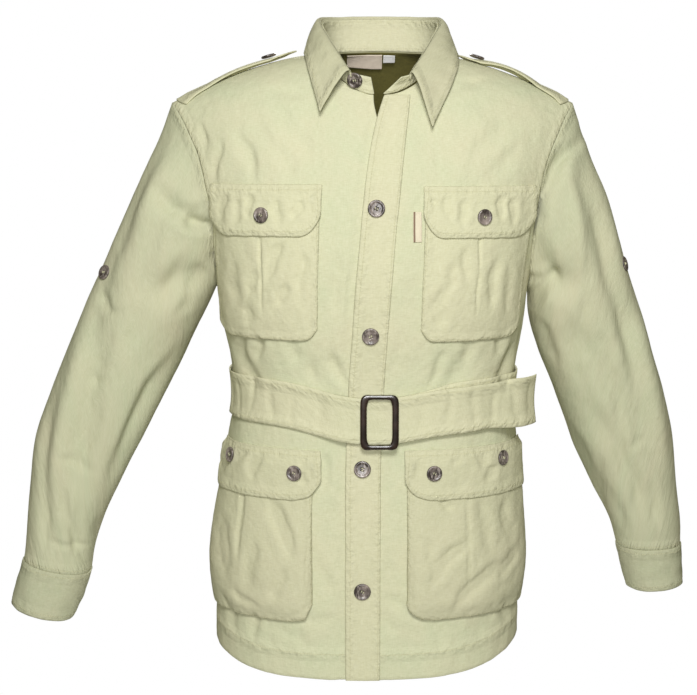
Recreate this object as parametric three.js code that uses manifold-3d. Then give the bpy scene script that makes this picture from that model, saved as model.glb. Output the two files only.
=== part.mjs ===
// A belted safari jacket, buttoned up and filled out as it hangs when worn.
// Millimetres, +Z up. The front faces -Y and +X is the wearer's left.
// The origin is the middle of the neck opening, level with the tops of the shoulders.

import * as THREE from 'three';
import Module from 'manifold-3d';

const wasm = await Module();
wasm.setup();

// Cloth
const clothWall = 1.6;
const seamGap = 0.3;
const squareness = 2.4;

// Torso
const armpitHeight = -268;
const hemFront = -726;
const hemSide = -708;
const hemTilt = 9;
const torsoRows = 14;
const chestRows = 9;
const frontColumns = 14;
const frontNeckColumns = 5;
const backColumns = 22;
const backNeckColumns = 8;
const crownPower = 2.2;
const shoulderTip = 238;
const shoulderStart = 70;
const shoulderSlope = 0.0257;
const napeRise = 25;
const underarmOut = 187;
const chestDepth = 130;
const backDepth = 125.5;
const degreeLength = 2.6;
const frontHollow = 3.1;
const backHollow = 2.2;

// Neck
const neckMiddle = 8;
const neckHalfWidth = 75;
const neckFrontDepth = 82;
const neckBackDepth = 50;
const neckEdgeRight = -0.5;
const neckEdgeLeft = 11;
const neckAxis = -10;

// Front closing
const placketLeft = 20;
const placketRight = 19;
const underlap = 18;
const placketLift = 0.45;
const neckSplit = -177;

// Belt
const beltWidth = 52;
const beltThickness = 1.8;
const beltFront = -418.5;
const beltRound = -400;
const beltDipWidth = 22;

// Buttons
const frontButton = 19.6;
const smallButton = 18;
const buttonSides = 12;
const buttonGap = 0.8;

const toRadians = Math.PI / 180;

// Torso sections from the hem up to the armpits, then on by height to the crown of the shoulders.
// front and back are depths from the side seam plane, middle is the sideways shift.
const torsoSections = [
  { height: -740, halfWidth: 187, front: 126, back: 119, middle: -6 },
  { height: -650, halfWidth: 187, front: 127, back: 120, middle: -6 },
  { height: -580, halfWidth: 185, front: 127, back: 121, middle: -5 },
  { height: -510, halfWidth: 182, front: 124, back: 119, middle: -2 },
  { height: -455, halfWidth: 176, front: 120.5, back: 114, middle: 0 },
  { height: -408, halfWidth: 169, front: 120, back: 107, middle: 1 },
  { height: -362, halfWidth: 173, front: 122, back: 116, middle: 1 },
  { height: -318, halfWidth: 181, front: 128, back: 123, middle: 0 },
  { height: -268, halfWidth: 187, front: 131, back: 126, middle: 0 },
  { height: -201, halfWidth: 197, front: 130, back: 128, middle: 0 },
  { height: -134, halfWidth: 216, front: 130, back: 128, middle: 0 },
  { height: -67, halfWidth: 231, front: 130, back: 126, middle: 0 },
  { height: 0, halfWidth: 246, front: 130, back: 125, middle: 0 },
];

// Largest folds of the body: turn is degrees from the centre front, depth is in (-) or out (+).
const torsoFolds = [
  { turn: -98, height: -285, endTurn: -92, endHeight: -350, width: 14, depth: -7 },
  { turn: 97, height: -280, endTurn: 91, endHeight: -350, width: 14, depth: -7 },
  { turn: -64, height: -342, endTurn: -50, endHeight: -385, width: 13, depth: -5 },
  { turn: 68, height: -342, endTurn: 56, endHeight: -385, width: 13, depth: -5 },
  { turn: 34, height: -345, endTurn: 24, endHeight: -385, width: 13, depth: -4 },
  { turn: 118, height: -240, endTurn: 150, endHeight: -350, width: 20, depth: -7 },
  { turn: -116, height: -250, endTurn: -148, endHeight: -360, width: 22, depth: -7 },
  { turn: 165, height: -300, endTurn: 172, endHeight: -388, width: 16, depth: -5 },
  { turn: -160, height: -318, endTurn: -164, endHeight: -390, width: 15, depth: -5 },
  { turn: 140, height: -430, endTurn: 150, endHeight: -600, width: 20, depth: -6 },
  { turn: -142, height: -432, endTurn: -156, endHeight: -570, width: 20, depth: -6 },
  { turn: 180, height: -436, endTurn: 182, endHeight: -640, width: 18, depth: -5 },
];

// Sleeve rings from shoulder to cuff: the outer and inner ends of each ring seen from the front,
// how far forward (-) or back (+) its middle lies, and half its depth from front to back.
const sleeveRightSections = [
  { step: 0, outX: -238, outZ: -56, inX: -187, inZ: -268, middle: 0, deep: 64 },
  { step: 1, outX: -257, outZ: -102, inX: -191, inZ: -279, middle: 2, deep: 68 },
  { step: 2, outX: -285, outZ: -158, inX: -200, inZ: -298, middle: 4, deep: 70 },
  { step: 3, outX: -312, outZ: -218, inX: -211, inZ: -320, middle: 5, deep: 69 },
  { step: 4, outX: -340, outZ: -278, inX: -224, inZ: -346, middle: 5, deep: 67 },
  { step: 5, outX: -366, outZ: -337, inX: -246, inZ: -391, middle: 4, deep: 65 },
  { step: 6, outX: -391, outZ: -397, inX: -271, inZ: -439, middle: 1, deep: 62 },
  { step: 7, outX: -411, outZ: -455, inX: -298, inZ: -491, middle: -4, deep: 57 },
  { step: 8, outX: -419, outZ: -514, inX: -325, inZ: -546, middle: -10, deep: 51 },
  { step: 9, outX: -424, outZ: -571, inX: -341, inZ: -590, middle: -15, deep: 45 },
  { step: 10, outX: -428, outZ: -608, inX: -347, inZ: -625, middle: -19, deep: 41 },
];
const sleeveLeftSections = [
  { step: 0, outX: 238, outZ: -56, inX: 187, inZ: -268, middle: 0, deep: 64 },
  { step: 1, outX: 255, outZ: -102, inX: 189, inZ: -282, middle: 3, deep: 68 },
  { step: 2, outX: 276, outZ: -160, inX: 191, inZ: -306, middle: 7, deep: 70 },
  { step: 3, outX: 297, outZ: -218, inX: 196, inZ: -329, middle: 11, deep: 69 },
  { step: 4, outX: 318, outZ: -279, inX: 205, inZ: -355, middle: 15, deep: 67 },
  { step: 5, outX: 338, outZ: -339, inX: 218, inZ: -385, middle: 18, deep: 65 },
  { step: 6, outX: 359, outZ: -400, inX: 235, inZ: -427, middle: 22, deep: 62 },
  { step: 7, outX: 374, outZ: -461, inX: 254, inZ: -478, middle: 26, deep: 58 },
  { step: 8, outX: 382, outZ: -524, inX: 279, inZ: -530, middle: 30, deep: 52 },
  { step: 9, outX: 389, outZ: -570, inX: 302, inZ: -573, middle: 32, deep: 46 },
  { step: 10, outX: 391, outZ: -603, inX: 312, inZ: -606, middle: 34, deep: 41 },
];
const cuffRightSections = [
  { step: 0, outX: -428.2, outZ: -608.6, inX: -347.2, inZ: -625.6, middle: -19, deep: 41 },
  { step: 1, outX: -437, outZ: -638, inX: -358, inZ: -656, middle: -22, deep: 42 },
  { step: 2, outX: -442, outZ: -661, inX: -369, inZ: -681, middle: -25, deep: 40 },
];
const cuffLeftSections = [
  { step: 0, outX: 391.2, outZ: -603.6, inX: 312.2, inZ: -606.6, middle: 34, deep: 41 },
  { step: 1, outX: 393, outZ: -629, inX: 319, inZ: -634, middle: 35, deep: 41 },
  { step: 2, outX: 395, outZ: -653, inX: 327, inZ: -661, middle: 36, deep: 40 },
];

// Largest sleeve folds: turn is degrees from the outer edge round the front, step is the ring.
const sleeveRightFolds = [
  { turn: 25, step: 0.9, endTurn: 48, endStep: 4.6, width: 17, depth: -8 },
  { turn: 140, step: 1.0, endTurn: 92, endStep: 3.2, width: 15, depth: -9 },
  { turn: 60, step: 4.4, endTurn: 100, endStep: 7.4, width: 15, depth: -6 },
  { turn: 40, step: 6.4, endTurn: 84, endStep: 9.0, width: 13, depth: -5 },
  { turn: 215, step: 1.2, endTurn: 262, endStep: 3.6, width: 18, depth: -8 },
  { turn: 300, step: 3.8, endTurn: 262, endStep: 7.2, width: 16, depth: -7 },
];
const sleeveLeftFolds = [
  { turn: 52, step: 1.0, endTurn: 58, endStep: 5.4, width: 15, depth: -7 },
  { turn: 138, step: 0.8, endTurn: 96, endStep: 2.8, width: 15, depth: -9 },
  { turn: 110, step: 4.0, endTurn: 72, endStep: 7.0, width: 15, depth: -6 },
  { turn: 118, step: 6.0, endTurn: 84, endStep: 8.6, width: 13, depth: -5 },
  { turn: 222, step: 1.0, endTurn: 258, endStep: 3.8, width: 18, depth: -8 },
  { turn: 296, step: 4.2, endTurn: 258, endStep: 7.4, width: 16, depth: -7 },
];

// Collar stations round the neck from the wearer's right to the left, out from the neck middle.
// The fold is the top edge and the edge is the free edge of the fallen leaf.
const collarStations = [
  { foldX: -36, foldY: -87, foldZ: -23, edgeX: -69, edgeY: -106, edgeZ: -69 },
  { foldX: -59, foldY: -45, foldZ: 14, edgeX: -85, edgeY: -54, edgeZ: -12 },
  { foldX: -71, foldY: 6, foldZ: 41, edgeX: -88, edgeY: 0, edgeZ: 4 },
  { foldX: -51, foldY: 45, foldZ: 47, edgeX: -66, edgeY: 62, edgeZ: 0 },
  { foldX: -4, foldY: 60, foldZ: 49, edgeX: -4, edgeY: 80, edgeZ: -3 },
  { foldX: 50, foldY: 46, foldZ: 47, edgeX: 66, edgeY: 62, edgeZ: -1 },
  { foldX: 72, foldY: 6, foldZ: 41, edgeX: 89, edgeY: 0, edgeZ: 3 },
  { foldX: 58, foldY: -44, foldZ: 12, edgeX: 87, edgeY: -62, edgeZ: -22 },
  { foldX: 34, foldY: -85, foldZ: -25, edgeX: 57, edgeY: -110, edgeZ: -86 },
];

// Colours and finishes
const finishes = {
  cloth: { color: '#cfccb0', roughness: 0.9, metalness: 0 },
  belt: { color: '#d2ceb2', roughness: 0.88, metalness: 0 },
  horn: { color: '#6f6259', roughness: 0.45, metalness: 0 },
  buckle: { color: '#32231f', roughness: 0.3, metalness: 0 },
  label: { color: '#d9cba6', roughness: 0.8, metalness: 0 },
  sizeLabel: { color: '#ece9df', roughness: 0.8, metalness: 0 },
};

const jacket = new THREE.Group();

function addMesh(name, geometry, finish) {
  const mesh = new THREE.Mesh(geometry, new THREE.MeshStandardMaterial(finishes[finish]));
  mesh.name = name;
  jacket.add(mesh);
  return mesh;
}

// Signed power, for rounded-square rings.
function swell(value, power) {
  return Math.sign(value) * Math.abs(value) ** power;
}

function clamp(value, low, high) {
  return Math.min(high, Math.max(low, value));
}

function smooth(value) {
  const t = clamp(value, 0, 1);
  return t * t * (3 - 2 * t);
}

// One column of a section table at any key between its rows, as a smooth cubic.
function fromTable(table, key, at, column) {
  const last = table.length - 2;
  let row = 0;
  while (row < last && table[row + 1][key] < at) row += 1;
  const before = table[Math.max(row - 1, 0)];
  const start = table[row];
  const end = table[row + 1];
  const after = table[Math.min(row + 2, last + 1)];
  const span = end[key] - start[key];
  const t = clamp((at - start[key]) / span, 0, 1);
  const slopeStart = (end[column] - before[column]) / (end[key] - before[key]) * span;
  const slopeEnd = (after[column] - start[column]) / (after[key] - start[key]) * span;
  const a = 2 * t ** 3 - 3 * t ** 2 + 1;
  const b = t ** 3 - 2 * t ** 2 + t;
  const c = -2 * t ** 3 + 3 * t ** 2;
  const d = t ** 3 - t ** 2;
  return a * start[column] + b * slopeStart + c * end[column] + d * slopeEnd;
}

// Depth at a place beside a straight fold: a soft trough or ridge that fades at both ends.
function foldDepth(across, along, fold, foldStart, foldEnd) {
  const runX = foldEnd[0] - foldStart[0];
  const runY = foldEnd[1] - foldStart[1];
  const length = Math.hypot(runX, runY);
  const gapX = across - foldStart[0];
  const gapY = along - foldStart[1];
  const share = (gapX * runX + gapY * runY) / length ** 2;
  const aside = (gapX * runY - gapY * runX) / length;
  const ends = smooth((share + 0.25) / 0.5) * smooth((1.25 - share) / 0.5);
  return fold.depth * ends * Math.exp(-((aside / fold.width) ** 2));
}

// Height of the shoulder ridge at a distance from the centre.
function ridgeHeight(x) {
  return -shoulderSlope * Math.max(0, Math.abs(x) - shoulderStart) ** 1.5;
}

// How far the chest and back still stand out, from 1 at the armpits to 0 at the ridge.
function crownShare(climb) {
  return Math.max(0, 1 - climb ** crownPower) ** (1 / crownPower);
}

function foldsOnTorso(turn, height) {
  let depth = 0;
  for (const fold of torsoFolds) {
    const start = [fold.turn * degreeLength, fold.height];
    const end = [fold.endTurn * degreeLength, fold.endHeight];
    for (const lap of [-360, 0, 360]) {
      depth += foldDepth((turn + lap) * degreeLength, height, fold, start, end);
    }
  }
  return depth;
}

// Torso form without folds. turn is degrees from the centre front, positive to the wearer's left.
// height is the true height below the armpits and the share of the climb to the ridge above them.
function plainTorso(turn, height, seam) {
  const angle = turn * toRadians;
  const ring = {};
  for (const column of ['halfWidth', 'front', 'back', 'middle']) {
    ring[column] = fromTable(torsoSections, 'height', height, column);
  }
  const x = ring.middle + ring.halfWidth * swell(Math.sin(angle), 2 / squareness);
  const climb = clamp((height - armpitHeight) / -armpitHeight, 0, 1);
  const depth = Math.cos(angle) > 0 ? ring.front : ring.back;
  const crown = crownShare(climb);
  const y = -depth * swell(Math.cos(angle), 2 / squareness) * crown + seam;
  const behind = clamp(y / neckBackDepth, 0, 1);
  const nape = napeRise * behind * Math.max(0, 1 - ((x - neckMiddle) / 100) ** 2);
  const top = ridgeHeight(x) + nape;
  const z = climb > 0 ? armpitHeight + (top - armpitHeight) * climb : height;
  return new THREE.Vector3(x, y, z);
}

// Torso form with its folds, which press straight in or out from the upright axis.
function torsoPoint(turn, height, seam = 0) {
  const point = plainTorso(turn, height, seam);
  const climb = clamp((height - armpitHeight) / -armpitHeight, 0, 1);
  const fade = smooth((1 - climb) * 2.5) * (height < hemSide + 40 ? 0.5 : 1);
  const depth = foldsOnTorso(turn, height) * fade;
  const outward = new THREE.Vector3(point.x, point.y, 0).normalize();
  return point.addScaledVector(outward, depth);
}

// Unit normal of any surface given as a function of two numbers, by small steps.
function normalOf(surface, a, b, stepA, stepB, outward) {
  const alongA = surface(a + stepA, b).sub(surface(a - stepA, b));
  const alongB = surface(a, b + stepB).sub(surface(a, b - stepB));
  const normal = alongA.cross(alongB).normalize();
  return normal.dot(outward) < 0 ? normal.negate() : normal;
}

function torsoPlace(turn, height, seam = 0) {
  const point = torsoPoint(turn, height, seam);
  const outward = new THREE.Vector3(point.x, point.y, 120 + point.z * 0.4).normalize();
  const top = Math.min(height, -1.5);
  const surface = (a, b) => torsoPoint(a, b, seam);
  const normal = normalOf(surface, turn, top, 1.2, 1.5, outward);
  if (height > -1) normal.setY(0).normalize();
  return { point, normal };
}

// The turn that reaches a sideways distance on the ring at a table height.
function turnFor(x, height) {
  const middle = fromTable(torsoSections, 'height', height, 'middle');
  const halfWidth = fromTable(torsoSections, 'height', height, 'halfWidth');
  const share = clamp((x - middle) / halfWidth, -1, 1);
  return Math.asin(swell(share, squareness / 2)) / toRadians;
}

// The table height that reaches a true height above the armpits.
function tableHeight(x, z) {
  if (z <= armpitHeight) return z;
  return armpitHeight * (1 - (z - armpitHeight) / (ridgeHeight(x) - armpitHeight));
}

// A place on the front of the torso from its sideways distance and true height.
function frontPlace(x, z) {
  const height = tableHeight(x, z);
  return torsoPlace(turnFor(x, height), height);
}

// The middle line of the closing leans from the neck to the wearer's right and then drops straight.
function closingLine(z) {
  const lean = Math.max(0, (z + 500) / 420);
  return -12 + 30 * lean ** 1.6;
}

// The left front's edge turns away above the first button.
function placketEdge(z) {
  const open = Math.max(0, (z - neckSplit) / 124);
  return closingLine(z) - placketLeft + 10 * open ** 3;
}

// The right front's edge passes under the left one and shows again at the open neck.
function underEdge(z) {
  const open = smooth((z - neckSplit) / 100);
  return closingLine(z) + underlap - open * (closingLine(z) + underlap - 4) - 5 * smooth((z + 85) / 32);
}

// A closed cloth wall from a grid of places, with its own outer and inner offsets.
function wallGeometry({ columns, rows, place, outer, inner, round = false }) {
  const across = round ? columns : columns + 1;
  const positions = [];
  const places = [];
  for (let row = 0; row <= rows; row += 1) {
    for (let column = 0; column < across; column += 1) {
      places.push([place(column / columns, row / rows), column / columns, row / rows]);
    }
  }
  for (const offset of [outer, inner]) {
    for (const [{ point, normal }, s, r] of places) {
      positions.push(...point.clone().addScaledVector(normal, offset(s, r)).toArray());
    }
  }
  const layer = places.length;
  const at = (side, row, column) => side * layer + row * across + (column % across);
  const faces = [];
  const quad = (a, b, c, d) => faces.push(a, b, c, a, c, d);
  for (let row = 0; row < rows; row += 1) {
    for (let column = 0; column < columns; column += 1) {
      quad(at(0, row, column), at(0, row, column + 1), at(0, row + 1, column + 1), at(0, row + 1, column));
      quad(at(1, row, column), at(1, row + 1, column), at(1, row + 1, column + 1), at(1, row, column + 1));
    }
    if (!round) {
      quad(at(0, row, 0), at(0, row + 1, 0), at(1, row + 1, 0), at(1, row, 0));
      quad(at(0, row, columns), at(1, row, columns), at(1, row + 1, columns), at(0, row + 1, columns));
    }
  }
  for (let column = 0; column < columns; column += 1) {
    quad(at(0, 0, column), at(1, 0, column), at(1, 0, column + 1), at(0, 0, column + 1));
    quad(at(0, rows, column), at(0, rows, column + 1), at(1, rows, column + 1), at(1, rows, column));
  }
  return closedGeometry(positions, faces);
}

// Makes the mesh and turns every face outward by the sign of its volume.
function closedGeometry(positions, faces) {
  let volume = 0;
  for (let i = 0; i < faces.length; i += 3) {
    const [a, b, c] = [0, 1, 2].map((k) => new THREE.Vector3().fromArray(positions, faces[i + k] * 3));
    volume += a.dot(b.cross(c));
  }
  const outward = volume > 0 ? faces : faces.toReversed();
  const geometry = new THREE.BufferGeometry();
  geometry.setAttribute('position', new THREE.Float32BufferAttribute(positions, 3));
  geometry.setIndex(outward);
  return geometry;
}

const flush = () => 0;
const clothIn = () => -clothWall;

// The armhole on one side. sweep is 0 at the shoulder and 180 at the armpit.
function armholePlace(side, sweep, hollow, seam) {
  const drop = (1 - Math.cos(sweep * toRadians)) / 2;
  const x = side * (underarmOut + (shoulderTip - underarmOut) * (1 - drop) ** hollow);
  const tip = ridgeHeight(shoulderTip);
  const z = tip + (armpitHeight - tip) * drop;
  const height = tableHeight(x, z);
  const turn = turnFor(x, height);
  return { turn: seam > 0 ? Math.sign(side) * 180 - turn : turn, height };
}

// The neck seam in plan, an oval that is deeper in front. share is 0 at the edge and 1 at the side.
function frontNeck(side, share) {
  const edge = side < 0 ? neckEdgeRight : neckEdgeLeft;
  const angle = share * 90 * toRadians;
  const x = edge + (neckMiddle + side * neckHalfWidth - edge) * Math.sin(angle);
  return neckHeight(x, neckFrontDepth * Math.cos(angle), chestDepth, 1);
}

function backNeck(share) {
  const angle = share * Math.PI;
  const x = neckMiddle - neckHalfWidth * Math.cos(angle);
  return neckHeight(x, neckBackDepth * Math.sin(angle), backDepth, -1);
}

// Turn and table height of a neck point given in plan.
function neckHeight(x, depth, chest, facing) {
  let height = -40;
  for (let pass = 0; pass < 4; pass += 1) {
    const halfWidth = fromTable(torsoSections, 'height', height, 'halfWidth');
    const bulge = Math.max(0.05, 1 - Math.abs(x / halfWidth) ** squareness) ** (1 / squareness);
    const crown = clamp(depth / (chest * bulge), 0, 1);
    height = armpitHeight * (1 - (1 - crown ** crownPower) ** (1 / crownPower));
  }
  const turn = turnFor(x, height);
  return { turn: facing > 0 ? turn : (x < 0 ? -180 : 180) - turn, height };
}

// Fills a four-sided patch above the armpits between its four edges, in steps of even arc.
function patch(bottom, top, inner, outer, s, r) {
  const mix = (read) => {
    const sides = (1 - s) * read(inner(r)) + s * read(outer(r));
    const ends = (1 - r) * read(bottom(s)) + r * read(top(s));
    const low = (1 - s) * read(bottom(0)) + s * read(bottom(1));
    const high = (1 - s) * read(top(0)) + s * read(top(1));
    return sides + ends - (1 - r) * low - r * high;
  };
  const rise = mix(({ height }) => Math.asin(clamp(1 - height / armpitHeight, 0, 1)));
  const height = armpitHeight * (1 - Math.sin(clamp(rise, 0, Math.PI / 2)));
  return { turn: mix(({ turn }) => turn), height };
}

// Table height at an even share of the arc from the armpits to a given height.
function evenRise(top, share) {
  const rise = Math.asin(clamp(1 - top / armpitHeight, 0, 1)) * share;
  return armpitHeight * (1 - Math.sin(rise));
}

// Height of the hem, lowest at the centre front and tilted up to the wearer's left.
function hemHeight(turn) {
  const aside = Math.sin(turn * toRadians);
  return hemFront + (hemSide - hemFront) * aside ** 4 + hemTilt * Math.max(0, aside) ** 2;
}

const allRows = torsoRows + chestRows;

// The line beside the placket where the right front starts to dip under the left one.
function dipEdge(z) {
  return Math.min(placketEdge(z), underEdge(z)) - 15;
}

// Turn and table height of a front panel's grid. s runs from the closing to the side seam.
function frontGrid(side, s, r) {
  const edgeAt = side < 0 ? dipEdge : (z) => placketEdge(z) + 1.5;
  const neckFrom = side < 0 ? 0.15 : 0;
  const row = r * allRows;
  if (row <= torsoRows) {
    const lift = row / torsoRows;
    const start = turnFor(edgeAt(hemFront), hemFront);
    const guess = start + (side * 90 - start) * s;
    const height = hemHeight(guess) + (armpitHeight - hemHeight(guess)) * lift;
    const edge = turnFor(edgeAt(height), height);
    return { turn: edge + (side * 90 - edge) * s, height };
  }
  const lift = (row - torsoRows) / chestRows;
  const neckShare = frontNeckColumns / frontColumns;
  const armpitEdge = turnFor(edgeAt(armpitHeight), armpitHeight);
  const bottom = (t) => ({ turn: armpitEdge + (side * 90 - armpitEdge) * t, height: armpitHeight });
  const top = (t) => {
    if (t <= neckShare) return frontNeck(side, neckFrom + (1 - neckFrom) * t / neckShare);
    const near = frontNeck(side, 1).turn;
    const far = armholePlace(side, 0, frontHollow, -1).turn;
    return { turn: near + (far - near) * (t - neckShare) / (1 - neckShare), height: 0 };
  };
  const inner = (t) => {
    const height = evenRise(frontNeck(side, neckFrom).height, t);
    return { turn: turnFor(edgeAt(height), height), height };
  };
  const outer = (t) => armholePlace(side, 180 * (1 - t), frontHollow, -1);
  return patch(bottom, top, inner, outer, s, lift);
}

function makeFrontLeft() {
  addMesh('front_left', wallGeometry({
    columns: frontColumns,
    rows: allRows,
    place: (s, r) => {
      const { turn, height } = frontGrid(1, s, r);
      return torsoPlace(turn, height, -seamGap / 2);
    },
    outer: flush,
    inner: clothIn,
  }), 'cloth');
}

// The right front has two more columns, which dip inward to pass under the left front.
function makeFrontRight() {
  const extra = 2;
  const columns = frontColumns + extra;
  const dip = (s) => (s * columns < extra - 0.5 ? -(clothWall + seamGap + 0.1) : 0);
  addMesh('front_right', wallGeometry({
    columns,
    rows: allRows,
    place: (s, r) => {
      const column = Math.round(s * columns) - extra;
      const { turn, height } = frontGrid(-1, Math.max(column, 0) / frontColumns, r);
      if (column >= 0) return torsoPlace(turn, height, -seamGap / 2);
      const covered = Math.min(placketEdge(height), underEdge(height)) - 3;
      const x = column < -1 ? underEdge(height) : covered;
      return torsoPlace(turnFor(x, height), height, -seamGap / 2);
    },
    outer: dip,
    inner: (s) => dip(s) - clothWall,
  }), 'cloth');
}

// Turn and table height of the back panel. s runs from the wearer's right side to the left.
function backGrid(s, r) {
  const turnAt = (t) => -90 - 180 * t;
  const row = r * allRows;
  if (row <= torsoRows) {
    const turn = turnAt(s);
    const low = hemHeight(turn);
    return { turn, height: low + (armpitHeight - low) * row / torsoRows };
  }
  const lift = (row - torsoRows) / chestRows;
  const neckShare = backNeckColumns / backColumns;
  const shoulderShare = (1 - neckShare) / 2;
  const wrap = ({ turn, height }) => ({ turn: turn > 0 ? turn - 360 : turn, height });
  const rightTip = wrap(armholePlace(-1, 0, backHollow, 1));
  const leftTip = wrap(armholePlace(1, 0, backHollow, 1));
  const top = (t) => {
    if (t < shoulderShare) {
      const near = wrap(backNeck(0)).turn;
      return { turn: rightTip.turn + (near - rightTip.turn) * t / shoulderShare, height: 0 };
    }
    if (t > 1 - shoulderShare) {
      const near = wrap(backNeck(1)).turn;
      const share = (t - 1 + shoulderShare) / shoulderShare;
      return { turn: near + (leftTip.turn - near) * share, height: 0 };
    }
    return wrap(backNeck(clamp((t - shoulderShare) / neckShare, 0, 1)));
  };
  const bottom = (t) => ({ turn: turnAt(t), height: armpitHeight });
  const inner = (t) => wrap(armholePlace(-1, 180 * (1 - t), backHollow, 1));
  const outer = (t) => wrap(armholePlace(1, 180 * (1 - t), backHollow, 1));
  return patch(bottom, top, inner, outer, s, lift);
}

function makeBack() {
  addMesh('back', wallGeometry({
    columns: backColumns,
    rows: allRows,
    place: (s, r) => {
      const { turn, height } = backGrid(s, r);
      return torsoPlace(turn, height, seamGap / 2);
    },
    outer: flush,
    inner: clothIn,
  }), 'cloth');
}

// Sleeve and cuff rings, an oval between the outer and inner ends of the section.
const ringSpacing = 58;
const sleeveDegree = 1.1;
const sleeveSquareness = 2.2;

function sleevePoint(sections, folds, turn, step) {
  const ring = {};
  for (const column of ['outX', 'outZ', 'inX', 'inZ', 'middle', 'deep']) {
    ring[column] = fromTable(sections, 'step', step, column);
  }
  const angle = turn * toRadians;
  const lean = swell(Math.cos(angle), 2 / sleeveSquareness);
  const deep = ring.deep * swell(Math.sin(angle), 2 / sleeveSquareness);
  const centre = new THREE.Vector3((ring.outX + ring.inX) / 2, ring.middle, (ring.outZ + ring.inZ) / 2);
  const reach = new THREE.Vector3((ring.outX - ring.inX) / 2, 0, (ring.outZ - ring.inZ) / 2);
  const spoke = reach.multiplyScalar(lean).add(new THREE.Vector3(0, -deep, 0));
  let depth = 0;
  for (const fold of folds) {
    const start = [fold.turn * sleeveDegree, fold.step * ringSpacing];
    const end = [fold.endTurn * sleeveDegree, fold.endStep * ringSpacing];
    depth += foldDepth(turn * sleeveDegree, step * ringSpacing, fold, start, end);
  }
  return centre.add(spoke).addScaledVector(spoke.clone().normalize(), depth);
}

const sleeveAround = chestRows * 2;
const sleeveRows = 12;

// A sleeve tube whose first ring is the armhole itself, a seam's gap away.
function sleevePlace(side, sections, folds, s, r) {
  const last = sections.length - 1;
  const step = r * last;
  const turn = s * 360;
  const forward = turn <= 180;
  const surface = (a, b) => sleevePoint(sections, folds, a, b);
  const point = surface(turn, step);
  const axis = sleevePoint(sections, [], turn, step).add(sleevePoint(sections, [], turn + 180, step));
  const outward = point.clone().sub(axis.multiplyScalar(0.5));
  const normal = normalOf(surface, turn, clamp(step, 0.1, last - 0.1), 4, 0.08, outward);
  if (step >= 2) return { point, normal };
  const sweep = forward ? turn : 360 - turn;
  const seamSide = forward ? -0.05 : 0.05;
  const armhole = armholePlace(side, sweep, forward ? frontHollow : backHollow, seamSide);
  const seam = torsoPlace(armhole.turn, armhole.height, seamSide);
  const leave = new THREE.Vector3(side, 0, 0);
  leave.addScaledVector(seam.normal, -leave.dot(seam.normal)).normalize();
  const away = smooth(step / 2);
  const start = sleevePoint(sections, [], turn, 0);
  const shift = seam.point.clone().addScaledVector(leave, seamGap + 0.1).sub(start);
  return {
    point: point.addScaledVector(shift, 1 - away),
    normal: seam.normal.clone().lerp(normal, away).normalize(),
  };
}

function makeSleeve(name, side, sections, folds) {
  addMesh(name, wallGeometry({
    columns: sleeveAround,
    rows: sleeveRows,
    round: true,
    place: (s, r) => sleevePlace(side, sections, folds, s, r),
    outer: flush,
    inner: clothIn,
  }), 'cloth');
}

const cuffWall = 2.4;

function makeCuff(name, sections) {
  addMesh(name, wallGeometry({
    columns: sleeveAround,
    rows: 2,
    round: true,
    place: (s, r) => {
      const surface = (a, b) => sleevePoint(sections, [], a, b);
      const point = surface(s * 360, r * 2);
      const across = surface(s * 360 + 180, r * 2).add(point).multiplyScalar(0.5);
      const outward = point.clone().sub(across);
      return { point, normal: normalOf(surface, s * 360, clamp(r * 2, 0.1, 1.9), 4, 0.08, outward) };
    },
    outer: () => cuffWall / 2,
    inner: () => -cuffWall / 2,
  }), 'cloth');
}

// A place on the shoulders from its plan position.
function shoulderPlace(x, y) {
  const { turn, height } = neckHeight(x, Math.abs(y), y < 0 ? chestDepth : backDepth, -y);
  return torsoPlace(turn, height);
}

// The strip down the edge of the left front, with the panel's own row heights.
function makePlacket() {
  addMesh('placket', wallGeometry({
    columns: 2,
    rows: allRows,
    place: (s, r) => {
      const height = frontGrid(1, 0, r).height - 1.5 * smooth((r - 0.9) * 10);
      const left = placketEdge(height);
      const x = left + (closingLine(height) + placketRight - left) * s;
      return torsoPlace(turnFor(x, height), height);
    },
    outer: () => placketLift + clothWall,
    inner: () => placketLift,
  }), 'cloth');
}

// Pocket bags and flaps: inner and outer edges as sideways distances for the chest,
// and as an inner distance and an outer turn for the lower pockets.
const chestPockets = [
  { name: 'right', topIn: -59, topOut: -187, lowIn: -62, lowOut: -181, top: -151, low: -326, buttonX: -124 },
  { name: 'left', topIn: 56, topOut: 187, lowIn: 50, lowOut: 168, top: -153, low: -327, buttonX: 121 },
];
const lowerPockets = [
  { name: 'right', side: -1, flapIn: -62, bagIn: -71, top: -455, low: -657, innerX: -90, outerX: -163 },
  { name: 'left', side: 1, flapIn: 36, bagIn: 39, top: -454, low: -654, innerX: 68, outerX: 147 },
];
const pocketOuterTurn = 81;
const outerButtonRise = 10;
const flapHeight = 57;
const chestPuff = 3;
const lowerPuff = 11;
const lowerStep = 2;
const bagStart = 20;
const chestLift = 1.6;
const lowerLift = 0.8;
const flapSewn = 0.5;
const flapOver = 2.4;
const lowerButtonDrop = 26;
const chestButtonDrop = 34;

// Rises quickly from both edges to a flat middle.
function plateau(share, steep) {
  return 1 - Math.abs(2 * share - 1) ** steep;
}

const cornerCurve = 2;

// How much a bottom corner is rounded away at a share across the pocket.
function cornerCut(share, reach, rise) {
  const near = Math.min(share, 1 - share) / reach;
  return near < 1 ? rise * (1 - near) ** cornerCurve : 0;
}

function chestEdge(pocket, edge, z) {
  const down = (pocket.top - z) / (pocket.top - pocket.low);
  return pocket[`top${edge}`] + (pocket[`low${edge}`] - pocket[`top${edge}`]) * down;
}

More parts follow.
